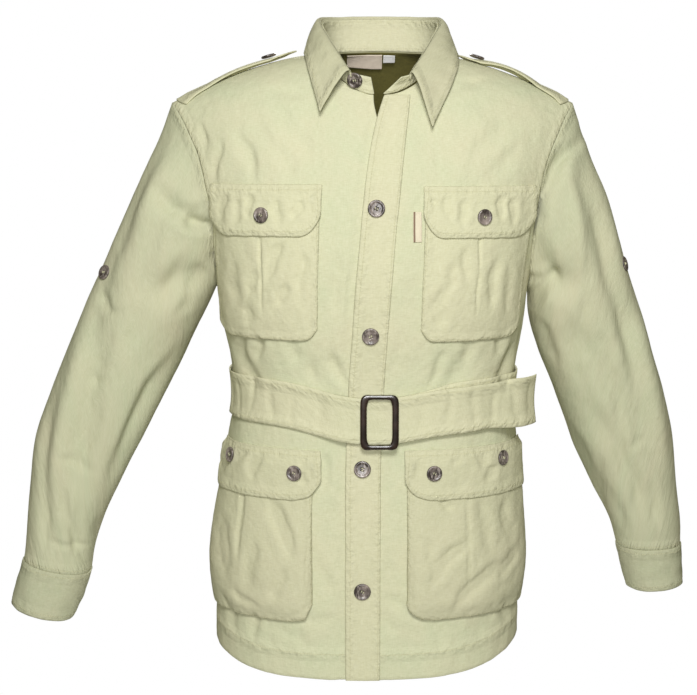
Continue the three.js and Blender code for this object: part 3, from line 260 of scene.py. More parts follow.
flapCreases = [
    (-167, -160, -171, -191, 1, 6, -1.6), (-137, -160, -141, -189, 1, 6, -1.5),
    (-92, -187, -81, -167, 2, 7, -1.6), (-87, -162, -67, -159, 1, 5, -1.2),
    (-151, -167, -154, -198, -1, 6, -1.1), (-108, -167, -105, -198, 1, 7, -1.1),
    (143, -162, 141, -191, 1, 6, -1.8), (155, -165, 154, -196, -1, 6, -1.6),
    (101, -167, 97, -198, 1, 7, -1.2), (79, -162, 84, -191, 1, 7, -1.1), (63, -167, 70, -173, 1, 5, -1),
    (-133, -431, -155, -477, 3, 8, -2.6), (-119, -433, -139, -494, 4, 8, -2.4),
    (-101, -433, -106, -463, 1, 7, -1.8), (-75, -445, -82, -473, 1, 6, -1.2),
    (-168, -473, -176, -496, 1, 6, -1.6), (-84, -480, -77, -496, 1, 6, -1.2),
    (99, -433, 92, -473, 1, 8, -2.2), (128, -431, 124, -480, 2, 8, -2.4),
    (112, -433, 116, -456, 1, 7, -1.6), (77, -442, 82, -463, -1, 7, -1.2),
    (51, -449, 55, -484, 1, 7, -1.2), (152, -438, 157, -463, 1, 6, -1.6),
    (138, -477, 130, -496, 1, 7, -1.4),
]
# the same for the inverted pleats and fold lines pressed or sewn into the pockets
pleats = [
    (-126.4, -202, -124.9, -294, 0.6, 2.2, -1.9), (117.8, -202, 116.8, -249, -0.5, 2, -1.6),
    (116.8, -247, 112.4, -299, 0.5, 2.2, -1.2), (-149.5, -501, -152.2, -591, 0.8, 3, -2.6),
    (-67.8, -496, -74.0, -627, -1, 2, -1.2), (-72.4, -501, -78.6, -624, -1, 1.8, -0.8),
    (107.6, -508, 106.2, -636, 0.8, 2.4, -1.4),
]


# The shoulder ridge falls away past its start: -slope * (distance past the start)^1.5
def ridgeHeight(x):
    return -body["shoulderSlope"] * np.maximum(0, np.abs(x) - body["shoulderStart"]) ** 1.5


def climbOf(height):  # 0 at the armpits, 1 at the ridge
    return np.clip((height - body["armpit"]) / -body["armpit"], 0, 1)


# x = middle + halfWidth * sin(turn)^(2/n), y = -depth * cos(turn)^(2/n) * crown, and z climbs to the ridge
# as crown falls: crown = (1 - climb^k)^(1/k). The nape lifts the back neck by a parabola.
def plainTorso(turn, height, seam=0):
    angle, power = np.radians(turn), 2 / body["squareness"]
    ring = {c: fromTable(torso, "height", height, c) for c in ("halfWidth", "front", "back", "middle")}
    x = ring["middle"] + ring["halfWidth"] * swell(np.sin(angle), power)
    climb = climbOf(height)
    depth = np.where(np.cos(angle) > 0, ring["front"], ring["back"])
    crown = np.maximum(0, 1 - climb ** body["crown"]) ** (1 / body["crown"])
    y = -depth * swell(np.cos(angle), power) * crown + seam
    nape = body["nape"] * np.clip(y / body["neckBack"], 0, 1)
    nape = nape * np.maximum(0, 1 - ((x - body["neckMiddle"]) / body["napeHalf"]) ** 2)
    top = ridgeHeight(x) + nape
    z = np.where(climb > 0, body["armpit"] + (top - body["armpit"]) * climb, height)
    return point(x, y, z)


# How folds and creases fade: folds near the ridge and at the hem, creases where the side faces away
fading = {
    "ridge": 2.5, "hem": 40, "hemShare": 0.5, "facing": 3, "past": 0.3, "beltHalf": 32, "beltShare": 0.4,
}


# The plain body, moved outward by its folds, then by the creases of the side it faces, then by its waves
def torsoPoint(turn, height, seam=0):
    place = plainTorso(turn, height, seam)
    nearHem = np.where(height < body["hemSide"] + fading["hem"], fading["hemShare"], 1)
    fade = smooth((1 - climbOf(height)) * fading["ridge"]) * nearHem
    scale = body["perDegree"]
    folds = [(a * scale, b, c * scale, d, w, deep) for a, b, c, d, w, deep in torsoFolds]
    depth = sum(foldDepth((turn + lap) * scale, height, folds) for lap in (-360, 0, 360)) * fade
    facing = np.cos(np.radians(turn)) * fading["facing"]
    x, z = place[..., 0], place[..., 2]
    depth = depth + creaseDepth(x, z, frontCreases) * smooth(facing + fading["past"])
    depth = depth + creaseDepth(x, z, backCreases) * smooth(fading["past"] - facing)
    underBelt = np.abs(height - beltMiddle(turn)) < fading["beltHalf"]
    depth = depth + crumpled(place, bodyWaves) * np.where(underBelt, fading["beltShare"], 1)
    outward = unit(point(place[..., 0], place[..., 1], 0.0))
    return place + outward * depth[..., None]


def normalOf(surface, a, b, stepA, stepB, outward):  # cross product of two small steps
    alongA = surface(a + stepA, b) - surface(a - stepA, b)
    alongB = surface(a, b + stepB) - surface(a, b - stepB)
    normal = unit(np.cross(alongA, alongB))
    return np.where(dot(normal, outward) < 0, -normal, normal)


# A place on the body and the way out from it. On the ridge itself the way out is kept level.
def torsoPlace(turn, height, seam=0):
    turn, height = np.broadcast_arrays(np.asarray(turn, float), np.asarray(height, float))
    place = torsoPoint(turn, height, seam)
    outward = unit(point(place[..., 0], place[..., 1], 120 + place[..., 2] * 0.4))
    surface = lambda a, b: torsoPoint(a, b, seam)
    normal = normalOf(surface, turn, np.minimum(height, -1.5), 1.2, 1.5, outward)
    level = unit(normal * np.array([1, 0, 1]))
    return place, np.where(height[..., None] > -1, level, normal)


# The ring formula backwards: turn = asin(((x - middle) / halfWidth)^(n/2))
def turnFor(x, height):
    middle, halfWidth = (fromTable(torso, "height", height, c) for c in ("middle", "halfWidth"))
    share = (x - middle) / halfWidth
    return np.degrees(np.arcsin(swell(np.clip(share, -1, 1), body["squareness"] / 2)))


def tableHeight(x, z):  # from a real height to the torso table's height
    up = body["armpit"] * (1 - (z - body["armpit"]) / (ridgeHeight(x) - body["armpit"]))
    return np.where(z <= body["armpit"], z, up)


def frontPlace(x, z):  # the place on the front at a real x and z
    height = tableHeight(x, z)
    return torsoPlace(turnFor(x, height), height)


# The closing line, and how the edges beside it turn away above the neck split
closing = {
    "foot": -12, "lean": 30, "from": -500, "over": 420, "curve": 1.6, "turnOut": 10, "turnOver": 124,
    "drawIn": 100, "drawnTo": 4, "tipCut": 5, "tipFrom": -85, "tipOver": 32, "dip": 15,
}


# x = foot + lean * ((z - from) / over)^curve
def closingLine(z):
    above = np.maximum(0, (z - closing["from"]) / closing["over"])
    return closing["foot"] + closing["lean"] * above ** closing["curve"]


# The placket's outer edge: beside the closing line, then out by the cube of the height over the split
def placketEdge(z):
    above = np.maximum(0, (z - body["neckSplit"]) / closing["turnOver"])
    return closingLine(z) - body["placketLeft"] + closing["turnOut"] * above**3


# The right front's hidden edge: past the closing line, then drawn in over the split
def underEdge(z):
    reach = closingLine(z) + body["underlap"]
    drawn = ramp(z, body["neckSplit"], closing["drawIn"]) * (reach - closing["drawnTo"])
    return reach - drawn - closing["tipCut"] * ramp(z, closing["tipFrom"], closing["tipOver"])


def dipEdge(z):  # where the right front starts to dip under the left one
    return np.minimum(placketEdge(z), underEdge(z)) - closing["dip"]


# drop = (1 - cos(sweep)) / 2, x = underarm + (tip - underarm) * (1 - drop)^hollow, z falls by drop.
# sweep is 0 at the shoulder and 180 at the armpit.
def armholePlace(side, sweep, hollow, behind):
    drop = (1 - np.cos(np.radians(sweep))) / 2
    x = side * (body["underarm"] + (body["shoulderTip"] - body["underarm"]) * (1 - drop) ** hollow)
    tip = ridgeHeight(body["shoulderTip"])
    height = tableHeight(x, tip + (body["armpit"] - tip) * drop)
    turn = turnFor(x, height)
    return (side * 180 - turn if behind else turn), height


# The height at which the crown is depth from the middle plane at x, found in a few rounds
def neckHeight(x, depth, chest, facing):
    height = np.full(np.shape(x), -40.0)
    for _ in range(4):
        share = np.abs(x / fromTable(torso, "height", height, "halfWidth"))
        bulge = np.maximum(0.05, 1 - share ** body["squareness"]) ** (1 / body["squareness"])
        crown = np.clip(depth / (chest * bulge), 0, 1)
        height = body["armpit"] * (1 - (1 - crown ** body["crown"]) ** (1 / body["crown"]))
    turn = turnFor(x, height)
    return np.where(facing > 0, turn, np.where(x < 0, -180, 180) - turn), height


# A quarter oval from the closing edge to the shoulder: x by sin, depth by cos
def frontNeck(side, share):
    edge = body["neckRight"] if side < 0 else body["neckLeft"]
    angle = share * math.pi / 2
    x = edge + (body["neckMiddle"] + side * body["neckHalf"] - edge) * np.sin(angle)
    return neckHeight(x, body["neckFront"] * np.cos(angle), body["chest"], np.ones_like(x))


# Half an oval from shoulder to shoulder: x by -cos, depth by sin
def backNeck(share):
    angle = share * math.pi
    x = body["neckMiddle"] - body["neckHalf"] * np.cos(angle)
    return neckHeight(x, body["neckBack"] * np.sin(angle), body["backDepth"], -np.ones_like(x))


gridSet = {"low": 14 / 23, "frontNeck": 5 / 14, "backNeck": 8 / 22, "neckFrom": 0.15, "ease": 2.4}


# Fills a patch between four edges: the blend across plus the blend along, less the blend of the corners,
# in even steps of arc. ease keeps rows apart where the top edge lies low.
def patch(bottom, top, inner, outer, s, r):
    zero, one = np.zeros_like(s), np.ones_like(s)

    # (1 - s) * inner + s * outer + (1 - r) * bottom + r * top, less the same mix of the corners
    def mix(read):
        sides = (1 - s) * read(inner(r)) + s * read(outer(r))
        ends = (1 - r) * read(bottom(s)) + r * read(top(s))
        low = (1 - s) * read(bottom(zero)) + s * read(bottom(one))
        high = (1 - s) * read(top(zero)) + s * read(top(one))
        return sides + ends - (1 - r) * low - r * high

    rise = mix(lambda edge: np.arcsin(np.clip(1 - edge[1] / body["armpit"], 0, 1)))
    ease = gridSet["ease"] * s * (1 - s) * r * (1 - r)
    rise = (rise + np.sqrt(rise**2 + ease**2)) / 2
    return mix(lambda edge: edge[0]), body["armpit"] * (1 - np.sin(np.clip(rise, 0, math.pi / 2)))


# front + (side - front) * sin(turn)^4, a little lower at the wearer's right
def hemHeight(turn):
    aside = np.sin(np.radians(turn))
    return (body["hemFront"] + (body["hemSide"] - body["hemFront"]) * aside**4
            + body["hemTilt"] * np.maximum(0, aside) ** 2)


# Turn and height over one front: even rows from hem to armpit, then a patch between closing edge,
# armhole, neck and shoulder
def frontGrid(side, s, r):
    edgeAt = dipEdge if side < 0 else (lambda z: placketEdge(z) + 1.5)
    neckFrom = gridSet["neckFrom"] if side < 0 else 0.0
    neckShare, lowShare = gridSet["frontNeck"], gridSet["low"]
    up = np.clip(r / lowShare, 0, 1)
    start = turnFor(edgeAt(body["hemFront"]), body["hemFront"])
    hem = hemHeight(start + (side * 90 - start) * s)
    low = hem + (body["armpit"] - hem) * up
    edge = turnFor(edgeAt(low), low)
    lowTurn = edge + (side * 90 - edge) * s
    lift = np.clip((r - lowShare) / (1 - lowShare), 0, 1)
    armpit = np.full(np.shape(s), float(body["armpit"]))
    armpitEdge = turnFor(edgeAt(armpit), armpit)
    near = frontNeck(side, np.ones(1))[0]
    far = armholePlace(side, 0, body["frontHollow"], False)[0]

    def top(t):
        turn, height = frontNeck(side, neckFrom + (1 - neckFrom) * np.minimum(t / neckShare, 1))
        out = np.clip((t - neckShare) / (1 - neckShare), 0, 1)
        return np.where(t <= neckShare, turn, near + (far - near) * out), np.where(t <= neckShare, height, 0)

    # From the armpit up to the neck, in even steps of the crown's arc
    def inner(t):
        neck = frontNeck(side, np.array([neckFrom]))[1]
        height = body["armpit"] * (1 - np.sin(np.arcsin(np.clip(1 - neck / body["armpit"], 0, 1)) * t))
        return turnFor(edgeAt(height), height), height

    bottom = lambda t: (armpitEdge + (side * 90 - armpitEdge) * t, armpit)
    outer = lambda t: armholePlace(side, 180 * (1 - t), body["frontHollow"], False)
    highTurn, high = patch(bottom, top, inner, outer, s, lift)
    return np.where(r <= lowShare, lowTurn, highTurn), np.where(r <= lowShare, low, high)


# The same over the back, from side seam to side seam
def backGrid(s, r):
    neckShare, lowShare = gridSet["backNeck"], gridSet["low"]
    shoulder = (1 - neckShare) / 2
    turn = -90 - 180 * s
    hem = hemHeight(turn)
    low = hem + (body["armpit"] - hem) * np.clip(r / lowShare, 0, 1)
    lift = np.clip((r - lowShare) / (1 - lowShare), 0, 1)
    wrap = lambda edge: (np.where(edge[0] > 0, edge[0] - 360, edge[0]), edge[1])
    armpit = np.full(np.shape(s), float(body["armpit"]))
    tips = [wrap(armholePlace(side, 0, body["backHollow"], True))[0] for side in (-1, 1)]
    ends = [wrap(backNeck(np.array([end])))[0] for end in (0.0, 1.0)]

    def top(t):
        neckTurn, neck = wrap(backNeck(np.clip((t - shoulder) / neckShare, 0, 1)))
        right = tips[0] + (ends[0] - tips[0]) * t / shoulder
        left = ends[1] + (tips[1] - ends[1]) * (t - 1 + shoulder) / shoulder
        onNeck = (t >= shoulder) & (t <= 1 - shoulder)
        return np.where(t < shoulder, right, np.where(onNeck, neckTurn, left)), np.where(onNeck, neck, 0)

    bottom = lambda t: (-90 - 180 * t, armpit)
    inner = lambda t: wrap(armholePlace(-1, 180 * (1 - t), body["backHollow"], True))
    outer = lambda t: wrap(armholePlace(1, 180 * (1 - t), body["backHollow"], True))
    highTurn, high = patch(bottom, top, inner, outer, s, lift)
    return np.where(r <= lowShare, turn, highTurn), np.where(r <= lowShare, low, high)


# A mesh from places and faces, with its layers of UV in metres
def meshFrom(name, places, faces, uvLayers=None, material=None):
    mesh = bpy.data.meshes.new(name)
    mesh.vertices.add(len(places))
    mesh.vertices.foreach_set("co", (places * mm).astype(np.float32).ravel())
    mesh.loops.add(faces.size)
    mesh.loops.foreach_set("vertex_index", faces.astype(np.int32).ravel())
    mesh.polygons.add(len(faces))
    mesh.polygons.foreach_set("loop_start", np.arange(0, faces.size, faces.shape[1], dtype=np.int32))
    mesh.update(calc_edges=True)
    mesh.polygons.foreach_set("use_smooth", np.ones(len(faces), bool))
    for layer, values in (uvLayers or {}).items():
        mesh.uv_layers.new(name=layer).data.foreach_set("uv", (values * mm).astype(np.float32).ravel())
    piece = bpy.data.objects.new(name, mesh)
    scene.collection.objects.link(piece)
    if material:
        mesh.materials.append(material)
    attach(piece, "root")
    return piece


def turnedOut(places, faces):  # the sign of the closed mesh's volume says which way its faces point
    a, b, c = (places[faces[:, k]] for k in (0, 1, 2))
    volume = np.sum(a * np.cross(b, c))
    if faces.shape[1] == 4:
        volume += np.sum(a * np.cross(c, places[faces[:, 3]]))
    return volume > 0


rimShare = 0.45  # how far a cut edge is rounded out, as a share of the cloth's thickness


# A closed cloth wall over a grid of places. Each layer is place + normal * offset, and a rounded rim
# joins the two. Returns the piece, its flat cut, and the outer layer with its normals.
def wallMesh(name, place, columns, rows, outer, inner, material, around=False):
    s, r = np.meshgrid(np.linspace(0, 1, columns + 1), np.linspace(0, 1, rows + 1))
    centre, normal = place(s, r)
    offsets = [f(s, r) if callable(f) else np.full(s.shape, float(f)) for f in (outer, inner)]
    layers = [centre + normal * o[..., None] for o in offsets]
    across = np.linalg.norm(np.diff(layers[0], axis=1), axis=-1)
    along = np.linalg.norm(np.diff(layers[0], axis=0), axis=-1)
    fromLeft = np.pad(np.cumsum(across, axis=1), ((0, 0), (1, 0)))
    fromTop = np.pad(np.cumsum(along, axis=0), ((1, 0), (0, 0)))
    uvs = {"cut": np.stack([fromLeft, fromTop], -1),
           "rest": np.stack([fromLeft[:, -1:] - fromLeft, fromTop[-1:] - fromTop], -1)}
    wide = columns if around else columns + 1
    index = np.arange(s.size).reshape(s.shape)
    spot = index // (columns + 1) * wide + index % (columns + 1) % wide
    count = wide * (rows + 1)
    quad = lambda g: np.stack([g[:-1, :-1], g[:-1, 1:], g[1:, 1:], g[1:, :-1]], -1).reshape(-1, 4)
    faces, corners = [quad(spot), quad(spot)[:, ::-1] + count], [quad(index), quad(index)[:, ::-1]]
    top, bottom = index[0, :], index[-1, ::-1]
    if around:
        loops = [top, bottom]
    else:
        loops = [np.concatenate([top[:-1], index[:-1, -1], bottom[:-1], index[::-1, 0]])]
    rims, made = [], 2 * count
    flat = [layer.reshape(-1, 3) for layer in layers]
    thick = (offsets[0] - offsets[1]).reshape(-1, 1)
    for loop in loops:
        row, column = loop // (columns + 1), loop % (columns + 1)
        inward = column if around else np.clip(column, 1, columns - 1)
        back = np.clip(row, 1, rows - 1) * (columns + 1) + inward
        middle = (flat[0] + flat[1]) / 2
        rim = middle[loop] + unit(middle[loop] - middle[back]) * thick[loop] * rimShare
        rims.append(rim[:-1])
        ring = np.arange(len(loop) - 1) + made
        made += len(loop) - 1
        mid, midNext = ring, np.roll(ring, -1)
        a, b = spot.ravel()[loop[:-1]], spot.ravel()[loop[1:]]
        faces += [np.stack([b, a, mid, midNext], -1), np.stack([midNext, mid, a + count, b + count], -1)]
        corners += [np.stack([loop[1:], loop[:-1], loop[:-1], loop[1:]], -1)] * 2
    keep = lambda layer: layer[:, :wide].reshape(-1, 3)
    places = np.concatenate([keep(layers[0]), keep(layers[1]), *rims])
    faces, corners = np.concatenate(faces), np.concatenate(corners)
    if not turnedOut(places, faces):
        faces, corners = faces[:, ::-1], corners[:, ::-1]
    uvLayers = {layer: values.reshape(-1, 2)[corners.ravel()] for layer, values in uvs.items()}
    piece = meshFrom(name, places, faces, uvLayers, material)
    # inside is 0 on the outer layer, 1 on the inner and 0.5 on the rims; the cloth paints shade on the inner
    # layer by it
    inside = np.repeat([0.0, 1.0, 0.5], [count, count, len(places) - 2 * count]).astype(np.float32)
    piece.data.attributes.new("inside", "FLOAT", "POINT").data.foreach_set("value", inside)
    sides = (across[:-1] + across[1:]) / 2 * (along[:, :-1] + along[:, 1:]) / 2
    cut = (fromLeft[:, -1].max() * mm, fromTop[-1].max() * mm, sides.sum() * mm * mm)
    return piece, cut, layers[0], normal


cutSizes = {}
smallest = {"side": 0.0101, "areaShare": 0.301}  # metres and share of the rectangle that a sheet may have


# What a piece stands for and the size that it is cut to
def declareSheet(name, cut):
    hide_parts(name)
    cutSizes[name] = cut
    flat = [max(side, smallest["side"]) for side in cut[:2]]
    area = max(cut[2], smallest["areaShare"] * flat[0] * flat[1])


# Sleeves: an oval between the outer and inner ends of each ring, step by step down the arm
sleeves = {
    "right": table(
        "step outX outZ inX inZ middle deep",
        (0, -238, -56, -187, -268, 0, 64),
        (1, -257, -102, -191, -279, 2, 68),
        (2, -285, -158, -200, -298, 4, 70),
        (3, -312, -218, -211, -320, 5, 69),
        (4, -340, -278, -224, -346, 5, 67),
        (5, -366, -337, -246, -391, 4, 65),
        (6, -391, -397, -271, -439, 1, 62),
        (7, -411, -455, -298, -491, -4, 57),
        (8, -419, -514, -325, -546, -10, 51),
        (9, -424, -571, -341, -590, -15, 45),
        (10, -428, -608, -347, -625, -19, 41),
    ),
    "left": table(
        "step outX outZ inX inZ middle deep",
        (0, 238, -56, 187, -268, 0, 64),
        (1, 255, -102, 189, -282, 3, 68),
        (2, 276, -160, 191, -306, 7, 70),
        (3, 297, -218, 196, -329, 11, 69),
        (4, 318, -279, 205, -355, 15, 67),
        (5, 338, -339, 218, -385, 18, 65),
        (6, 359, -400, 235, -427, 22, 62),
        (7, 374, -461, 254, -478, 26, 58),
        (8, 382, -524, 279, -530, 30, 52),
        (9, 389, -570, 302, -573, 32, 46),
        (10, 391, -603, 312, -606, 34, 41),
    ),
}
cuffs = {
    "right": table(
        "step outX outZ inX inZ middle deep",
        (0, -428.2, -608.6, -347.2, -625.6, -19, 41),
        (1, -437, -638, -358, -656, -22, 42),
        (2, -442, -661, -369, -681, -25, 40),
    ),
    "left": table(
        "step outX outZ inX inZ middle deep",
        (0, 391.2, -603.6, 312.2, -606.6, 34, 41),
        (1, 393, -629, 319, -634, 35, 41),
        (2, 395, -653, 327, -661, 36, 40),
    ),
}
# turn from the outer edge round the front, step, their ends, width and depth
sleeveFolds = {
    "right": [
        (25, 0.9, 48, 4.6, 17, -8), (140, 1.0, 92, 3.2, 15, -9), (60, 4.4, 100, 7.4, 15, -6),
        (40, 6.4, 84, 9.0, 13, -5), (215, 1.2, 262, 3.6, 18, -8), (300, 3.8, 262, 7.2, 16, -7),
    ],
    "left": [
        (52, 1.0, 58, 5.4, 15, -7), (138, 0.8, 96, 2.8, 15, -9), (110, 4.0, 72, 7.0, 15, -6),
        (118, 6.0, 84, 8.6, 13, -5), (222, 1.0, 258, 3.8, 18, -8), (296, 4.2, 258, 7.4, 16, -7),
    ],
}
# in front, then behind: x, z, end x, end z, bow, width and depth of each crease
sleeveCreases = {
    "right": [
        (-228, -188, -200, -211, 2, 8, -8.5), (-260, -153, -198, -200, 6, 12, -4.2),
        (-243, -177, -207, -177, 1, 7, -1.8), (-325, -277, -303, -303, 4, 9, -3),
        (-216, -92, -290, -290, -5, 14, -2.0), (-304, -301, -352, -520, 6, 14, -1.8),
        (-244, -96, -328, -300, -3, 16, 3.8), (-338, -310, -390, -550, 5, 16, 3.8),
        (-263, -287, -292, -358, 4, 12, -2), (-240, -353, -320, -516, 5, 11, -4.4),
        (-262, -382, -304, -469, -3, 9, -2), (-372, -506, -349, -612, 3, 8, -3),
        (-354, -528, -363, -602, -2, 7, -1.8), (-335, -553, -332, -602, 1, 7, -1.8),
        (-392, -534, -396, -590, 1, 7, -1.6), (-376, -474, -331, -496, -3, 8, -1.6),
        (-391, -578, -338, -587, 2, 6, -1.4), (-219, -233, -251, -308, 3, 11, -2.2),
        (-208, -263, -232, -308, -2, 9, -2), (-275, -188, -297, -242, 3, 12, -1.8),
        (-342, -373, -319, -387, 2, 8, -1.4), (-320, -406, -353, -491, -3, 9, -1.8),
        (-196, -230, -189, -258, 1, 7, -2.4),
    ],
    "left": [
        (243, -100, 218, -158, 3, 9, -6), (219, -151, 199, -214, 3, 10, -8.0),
        (236, -75, 243, -288, -2, 9, 2.6), (247, -276, 253, -355, 2, 9, -1.8),
        (257, -89, 283, -288, 3, 14, -2.2), (296, -283, 338, -447, 6, 13, -2.2),
        (266, -100, 302, -296, 2, 15, 3.4), (320, -300, 364, -500, 4, 15, 3.6),
        (295, -396, 307, -503, 3, 9, -2.2), (216, -255, 191, -299, 2, 9, -6),
        (184, -261, 202, -269, 1, 7, -2.4), (206, -217, 221, -288, 4, 11, -2.4),
        (229, -300, 260, -408, 4, 12, -2), (243, -449, 295, -578, -5, 9, -3),
        (274, -481, 304, -555, 3, 9, -1.8), (322, -494, 329, -575, 2, 8, -1.8),
        (340, -506, 351, -575, -2, 7, -1.8), (307, -545, 315, -580, 1, 7, -1.6),
        (198, -312, 223, -374, -2, 8, -2.2), (270, -324, 285, -372, -2, 10, -1.4),
        (252, -77, 246, -112, 1, 7, -2), (331, -457, 312, -471, 1, 8, -1.4),
    ],
}
sleeveBackCreases = {
    "right": [
        (-196, -130, -226, -228, 4, 11, -4.0), (-238, -150, -292, -300, -6, 13, -3.2),
        (-214, -262, -262, -282, 4, 9, -2.8), (-250, -322, -334, -360, 6, 11, -2.6),
        (-262, -356, -330, -402, -4, 10, -2.6), (-300, -300, -372, -440, 6, 12, -2.8),
        (-288, -420, -344, -520, 5, 11, -2.6), (-380, -470, -408, -590, -4, 10, -2.6),
        (-340, -520, -352, -600, 3, 9, -2.2), (-364, -560, -370, -612, 2, 8, -2.0),
        (-392, -556, -396, -606, -2, 8, -1.8),
    ],
    "left": [
        (196, -130, 214, -236, -4, 11, -4.0), (236, -150, 268, -300, 5, 13, -3.2),
        (206, -270, 246, -290, -4, 9, -2.8), (232, -330, 300, -352, -5, 11, -2.6),
        (240, -366, 306, -400, 4, 10, -2.4), (290, -290, 340, -440, -6, 12, -2.8),
        (262, -430, 306, -530, -4, 11, -2.6), (346, -470, 372, -580, 4, 10, -2.6),
        (312, -520, 322, -590, -3, 9, -2.2), (336, -548, 340, -596, -2, 8, -2.0),
        (362, -540, 368, -592, 2, 8, -1.8),
    ],
}
sleeveSet = {
    "squareness": 2.2, "ringGap": 58, "perDegree": 1.1, "seamGap": 0.4, "columns": 120, "rows": 170,
    "steps": 10, "eased": 2,
}


# centre + reach * cos(turn)^(2/n), and depth * sin(turn)^(2/n) towards the front, moved out by folds,
# creases and waves
def sleevePoint(rings, folds, creases, turn, step):
    ring = {c: fromTable(rings, "step", step, c) for c in ("outX", "outZ", "inX", "inZ", "middle", "deep")}
    angle, power = np.radians(turn), 2 / sleeveSet["squareness"]
    reach = point((ring["outX"] - ring["inX"]) / 2, 0, (ring["outZ"] - ring["inZ"]) / 2)
    spoke = reach * swell(np.cos(angle), power)[..., None]
    spoke = spoke + point(0, -ring["deep"] * swell(np.sin(angle), power), 0)
    centre = point((ring["outX"] + ring["inX"]) / 2, ring["middle"], (ring["outZ"] + ring["inZ"]) / 2)
    scale, gap = sleeveSet["perDegree"], sleeveSet["ringGap"]
    scaled = [(a * scale, b * gap, c * scale, d * gap, w, deep) for a, b, c, d, w, deep in folds]
    depth = foldDepth(turn * scale, step * gap, scaled)
    plain = centre + spoke
    if creases:
        front, back = creases
        facing = np.sin(angle) * fading["facing"]
        x, z = plain[..., 0], plain[..., 2]
        depth = depth + creaseDepth(x, z, front) * smooth(facing + fading["past"])
        depth = depth + creaseDepth(x, z, back) * smooth(fading["past"] - facing)
        depth = depth + crumpled(plain, sleeveWaves)
    return plain + unit(spoke) * np.asarray(depth)[..., None]


# The tube's surface, eased over its first two steps on to the armhole of the body
def sleevePlace(name, s, r):
    side = -1 if name == "right" else 1
    rings, creases = sleeves[name], (sleeveCreases[name], sleeveBackCreases[name])
    step, turn = r * sleeveSet["steps"], s * 360
    surface = lambda a, b: sleevePoint(rings, sleeveFolds[name], creases, a, b)
    place = surface(turn, step)
    axis = (sleevePoint(rings, [], None, turn, step) + sleevePoint(rings, [], None, turn + 180, step)) / 2
    normal = normalOf(surface, turn, np.clip(step, 0.1, 9.9), 3, 0.06, place - axis)
    forward = turn <= 180
    sweep = np.where(forward, turn, 360 - turn)
    fronts = armholePlace(side, sweep, body["frontHollow"], False)
    backs = armholePlace(side, sweep, body["backHollow"], True)
    edge = [np.where(forward, front, back) for front, back in zip(fronts, backs)]
    seam, seamNormal = torsoPlace(edge[0], edge[1])
    leave = np.array([side, 0.0, 0.0]) - seamNormal * (side * seamNormal[..., :1])
    start = sleevePoint(rings, [], None, turn, np.zeros_like(step))
    away = smooth(step / sleeveSet["eased"])[..., None]
    shift = (seam + unit(leave) * sleeveSet["seamGap"] - start) * (1 - away)
    return place + shift, unit(seamNormal * (1 - away) + normal * away)


# The sleeve's oval over the cuff's two steps, moved out by its waves
def cuffPlace(name, s, r):
    surface = lambda a, b: sleevePoint(cuffs[name], [], None, a, b)
    place = surface(s * 360, r * 2)
    outward = place - (surface(s * 360 + 180, r * 2) + place) / 2
    normal = normalOf(surface, s * 360, np.clip(r * 2, 0.1, 1.9), 3, 0.06, outward)
    return place + normal * crumpled(place, cuffWaves)[..., None], normal


# Pockets, flaps, belt, straps and collar
chestPockets = {
    "right": {"topIn": -59, "topOut": -187, "lowIn": -62, "lowOut": -181, "top": -151, "low": -326,
              "button": -124},
    "left": {"topIn": 56, "topOut": 187, "lowIn": 50, "lowOut": 168, "top": -153, "low": -327,
             "button": 121},
}
lowerPockets = {
    "right": {"side": -1, "flapIn": -62, "bagIn": -71, "top": -455, "low": -657, "inner": -90, "outer": -163},
    "left": {"side": 1, "flapIn": 36, "bagIn": 39, "top": -454, "low": -654, "inner": 68, "outer": 147},
}
pocketSet = {
    "flap": 57, "chestPuff": 3, "lowerPuff": 11, "lowerStep": 2, "bagStart": 20, "chestLift": 1.6,
    "lowerLift": 0.8, "flapSewn": 0.5, "flapOver": 2.4, "flapRise": 3.2, "chestButton": 34, "lowerButton": 26,
    "outerRise": 10, "outerTurn": 81, "crowd": 0.1, "chestFlat": 6, "lowerFlat": 8, "inset": 0.02,
    "closeIn": 0.86, "closeOut": 0.4, "fallFrom": 0.1, "fallRate": 1.6, "flapReach": 1.02,
    "topLift": 0.5, "topShare": 0.02,
}
# how far along its lower edge a corner is rounded, as a share, and how high
corners = {
    "curve": 2.6, "chestBag": (0.16, 14), "chestFlap": (0.21, 23), "lowerBag": (0.28, 21),
    "lowerFlap": (0.3, 21),
}


def plateau(share, steep):  # 1 - |2 * share - 1|^steep, level in the middle and 0 at both ends
    return 1 - np.abs(2 * share - 1) ** steep


# rise * (1 - distance from the nearer end / reach)^curve
def cornerCut(share, corner):
    reach, rise = corners[corner]
    near = np.minimum(share, 1 - share) / reach
    return rise * np.clip(1 - near, 0, 1) ** corners["curve"]


def chestEdge(p, edge, z):  # x of the pocket's inner or outer edge, straight from top to foot
    down = (p["top"] - z) / (p["top"] - p["low"])
    return p["top" + edge] + (p["low" + edge] - p["top" + edge]) * down


# lift + puff * plateau across * plateau down
def chestPuff(p, s, z):
    bagTop = p["top"] - pocketSet["bagStart"]
    down = np.clip((bagTop - z) / (bagTop - p["low"]), 0, 1)
    level = plateau(s, pocketSet["chestFlat"]) * plateau(down, pocketSet["chestFlat"])
    return pocketSet["chestLift"] + pocketSet["chestPuff"] * level


def chestX(p, z, share):  # inner + (outer - inner) * share
    inner = chestEdge(p, "In", z)
    return inner + (chestEdge(p, "Out", z) - inner) * share


def bagHeight(p, corner, s, r):  # even rows from the bag's top down to its foot, whose corners rise
    bagTop = p["top"] - pocketSet["bagStart"]
    return bagTop + (p["low"] + cornerCut(s, corner) - bagTop) * r


def flapHeight(p, corner, s, r):  # even rows from the flap's top down to its foot
    return p["top"] + (-pocketSet["flap"] + cornerCut(s, corner)) * r


def flapUnder(over, r):  # sewn down at the top, then out over the bag
    return pocketSet["flapSewn"] + (over - pocketSet["flapSewn"]) * smooth(r * pocketSet["flapRise"])


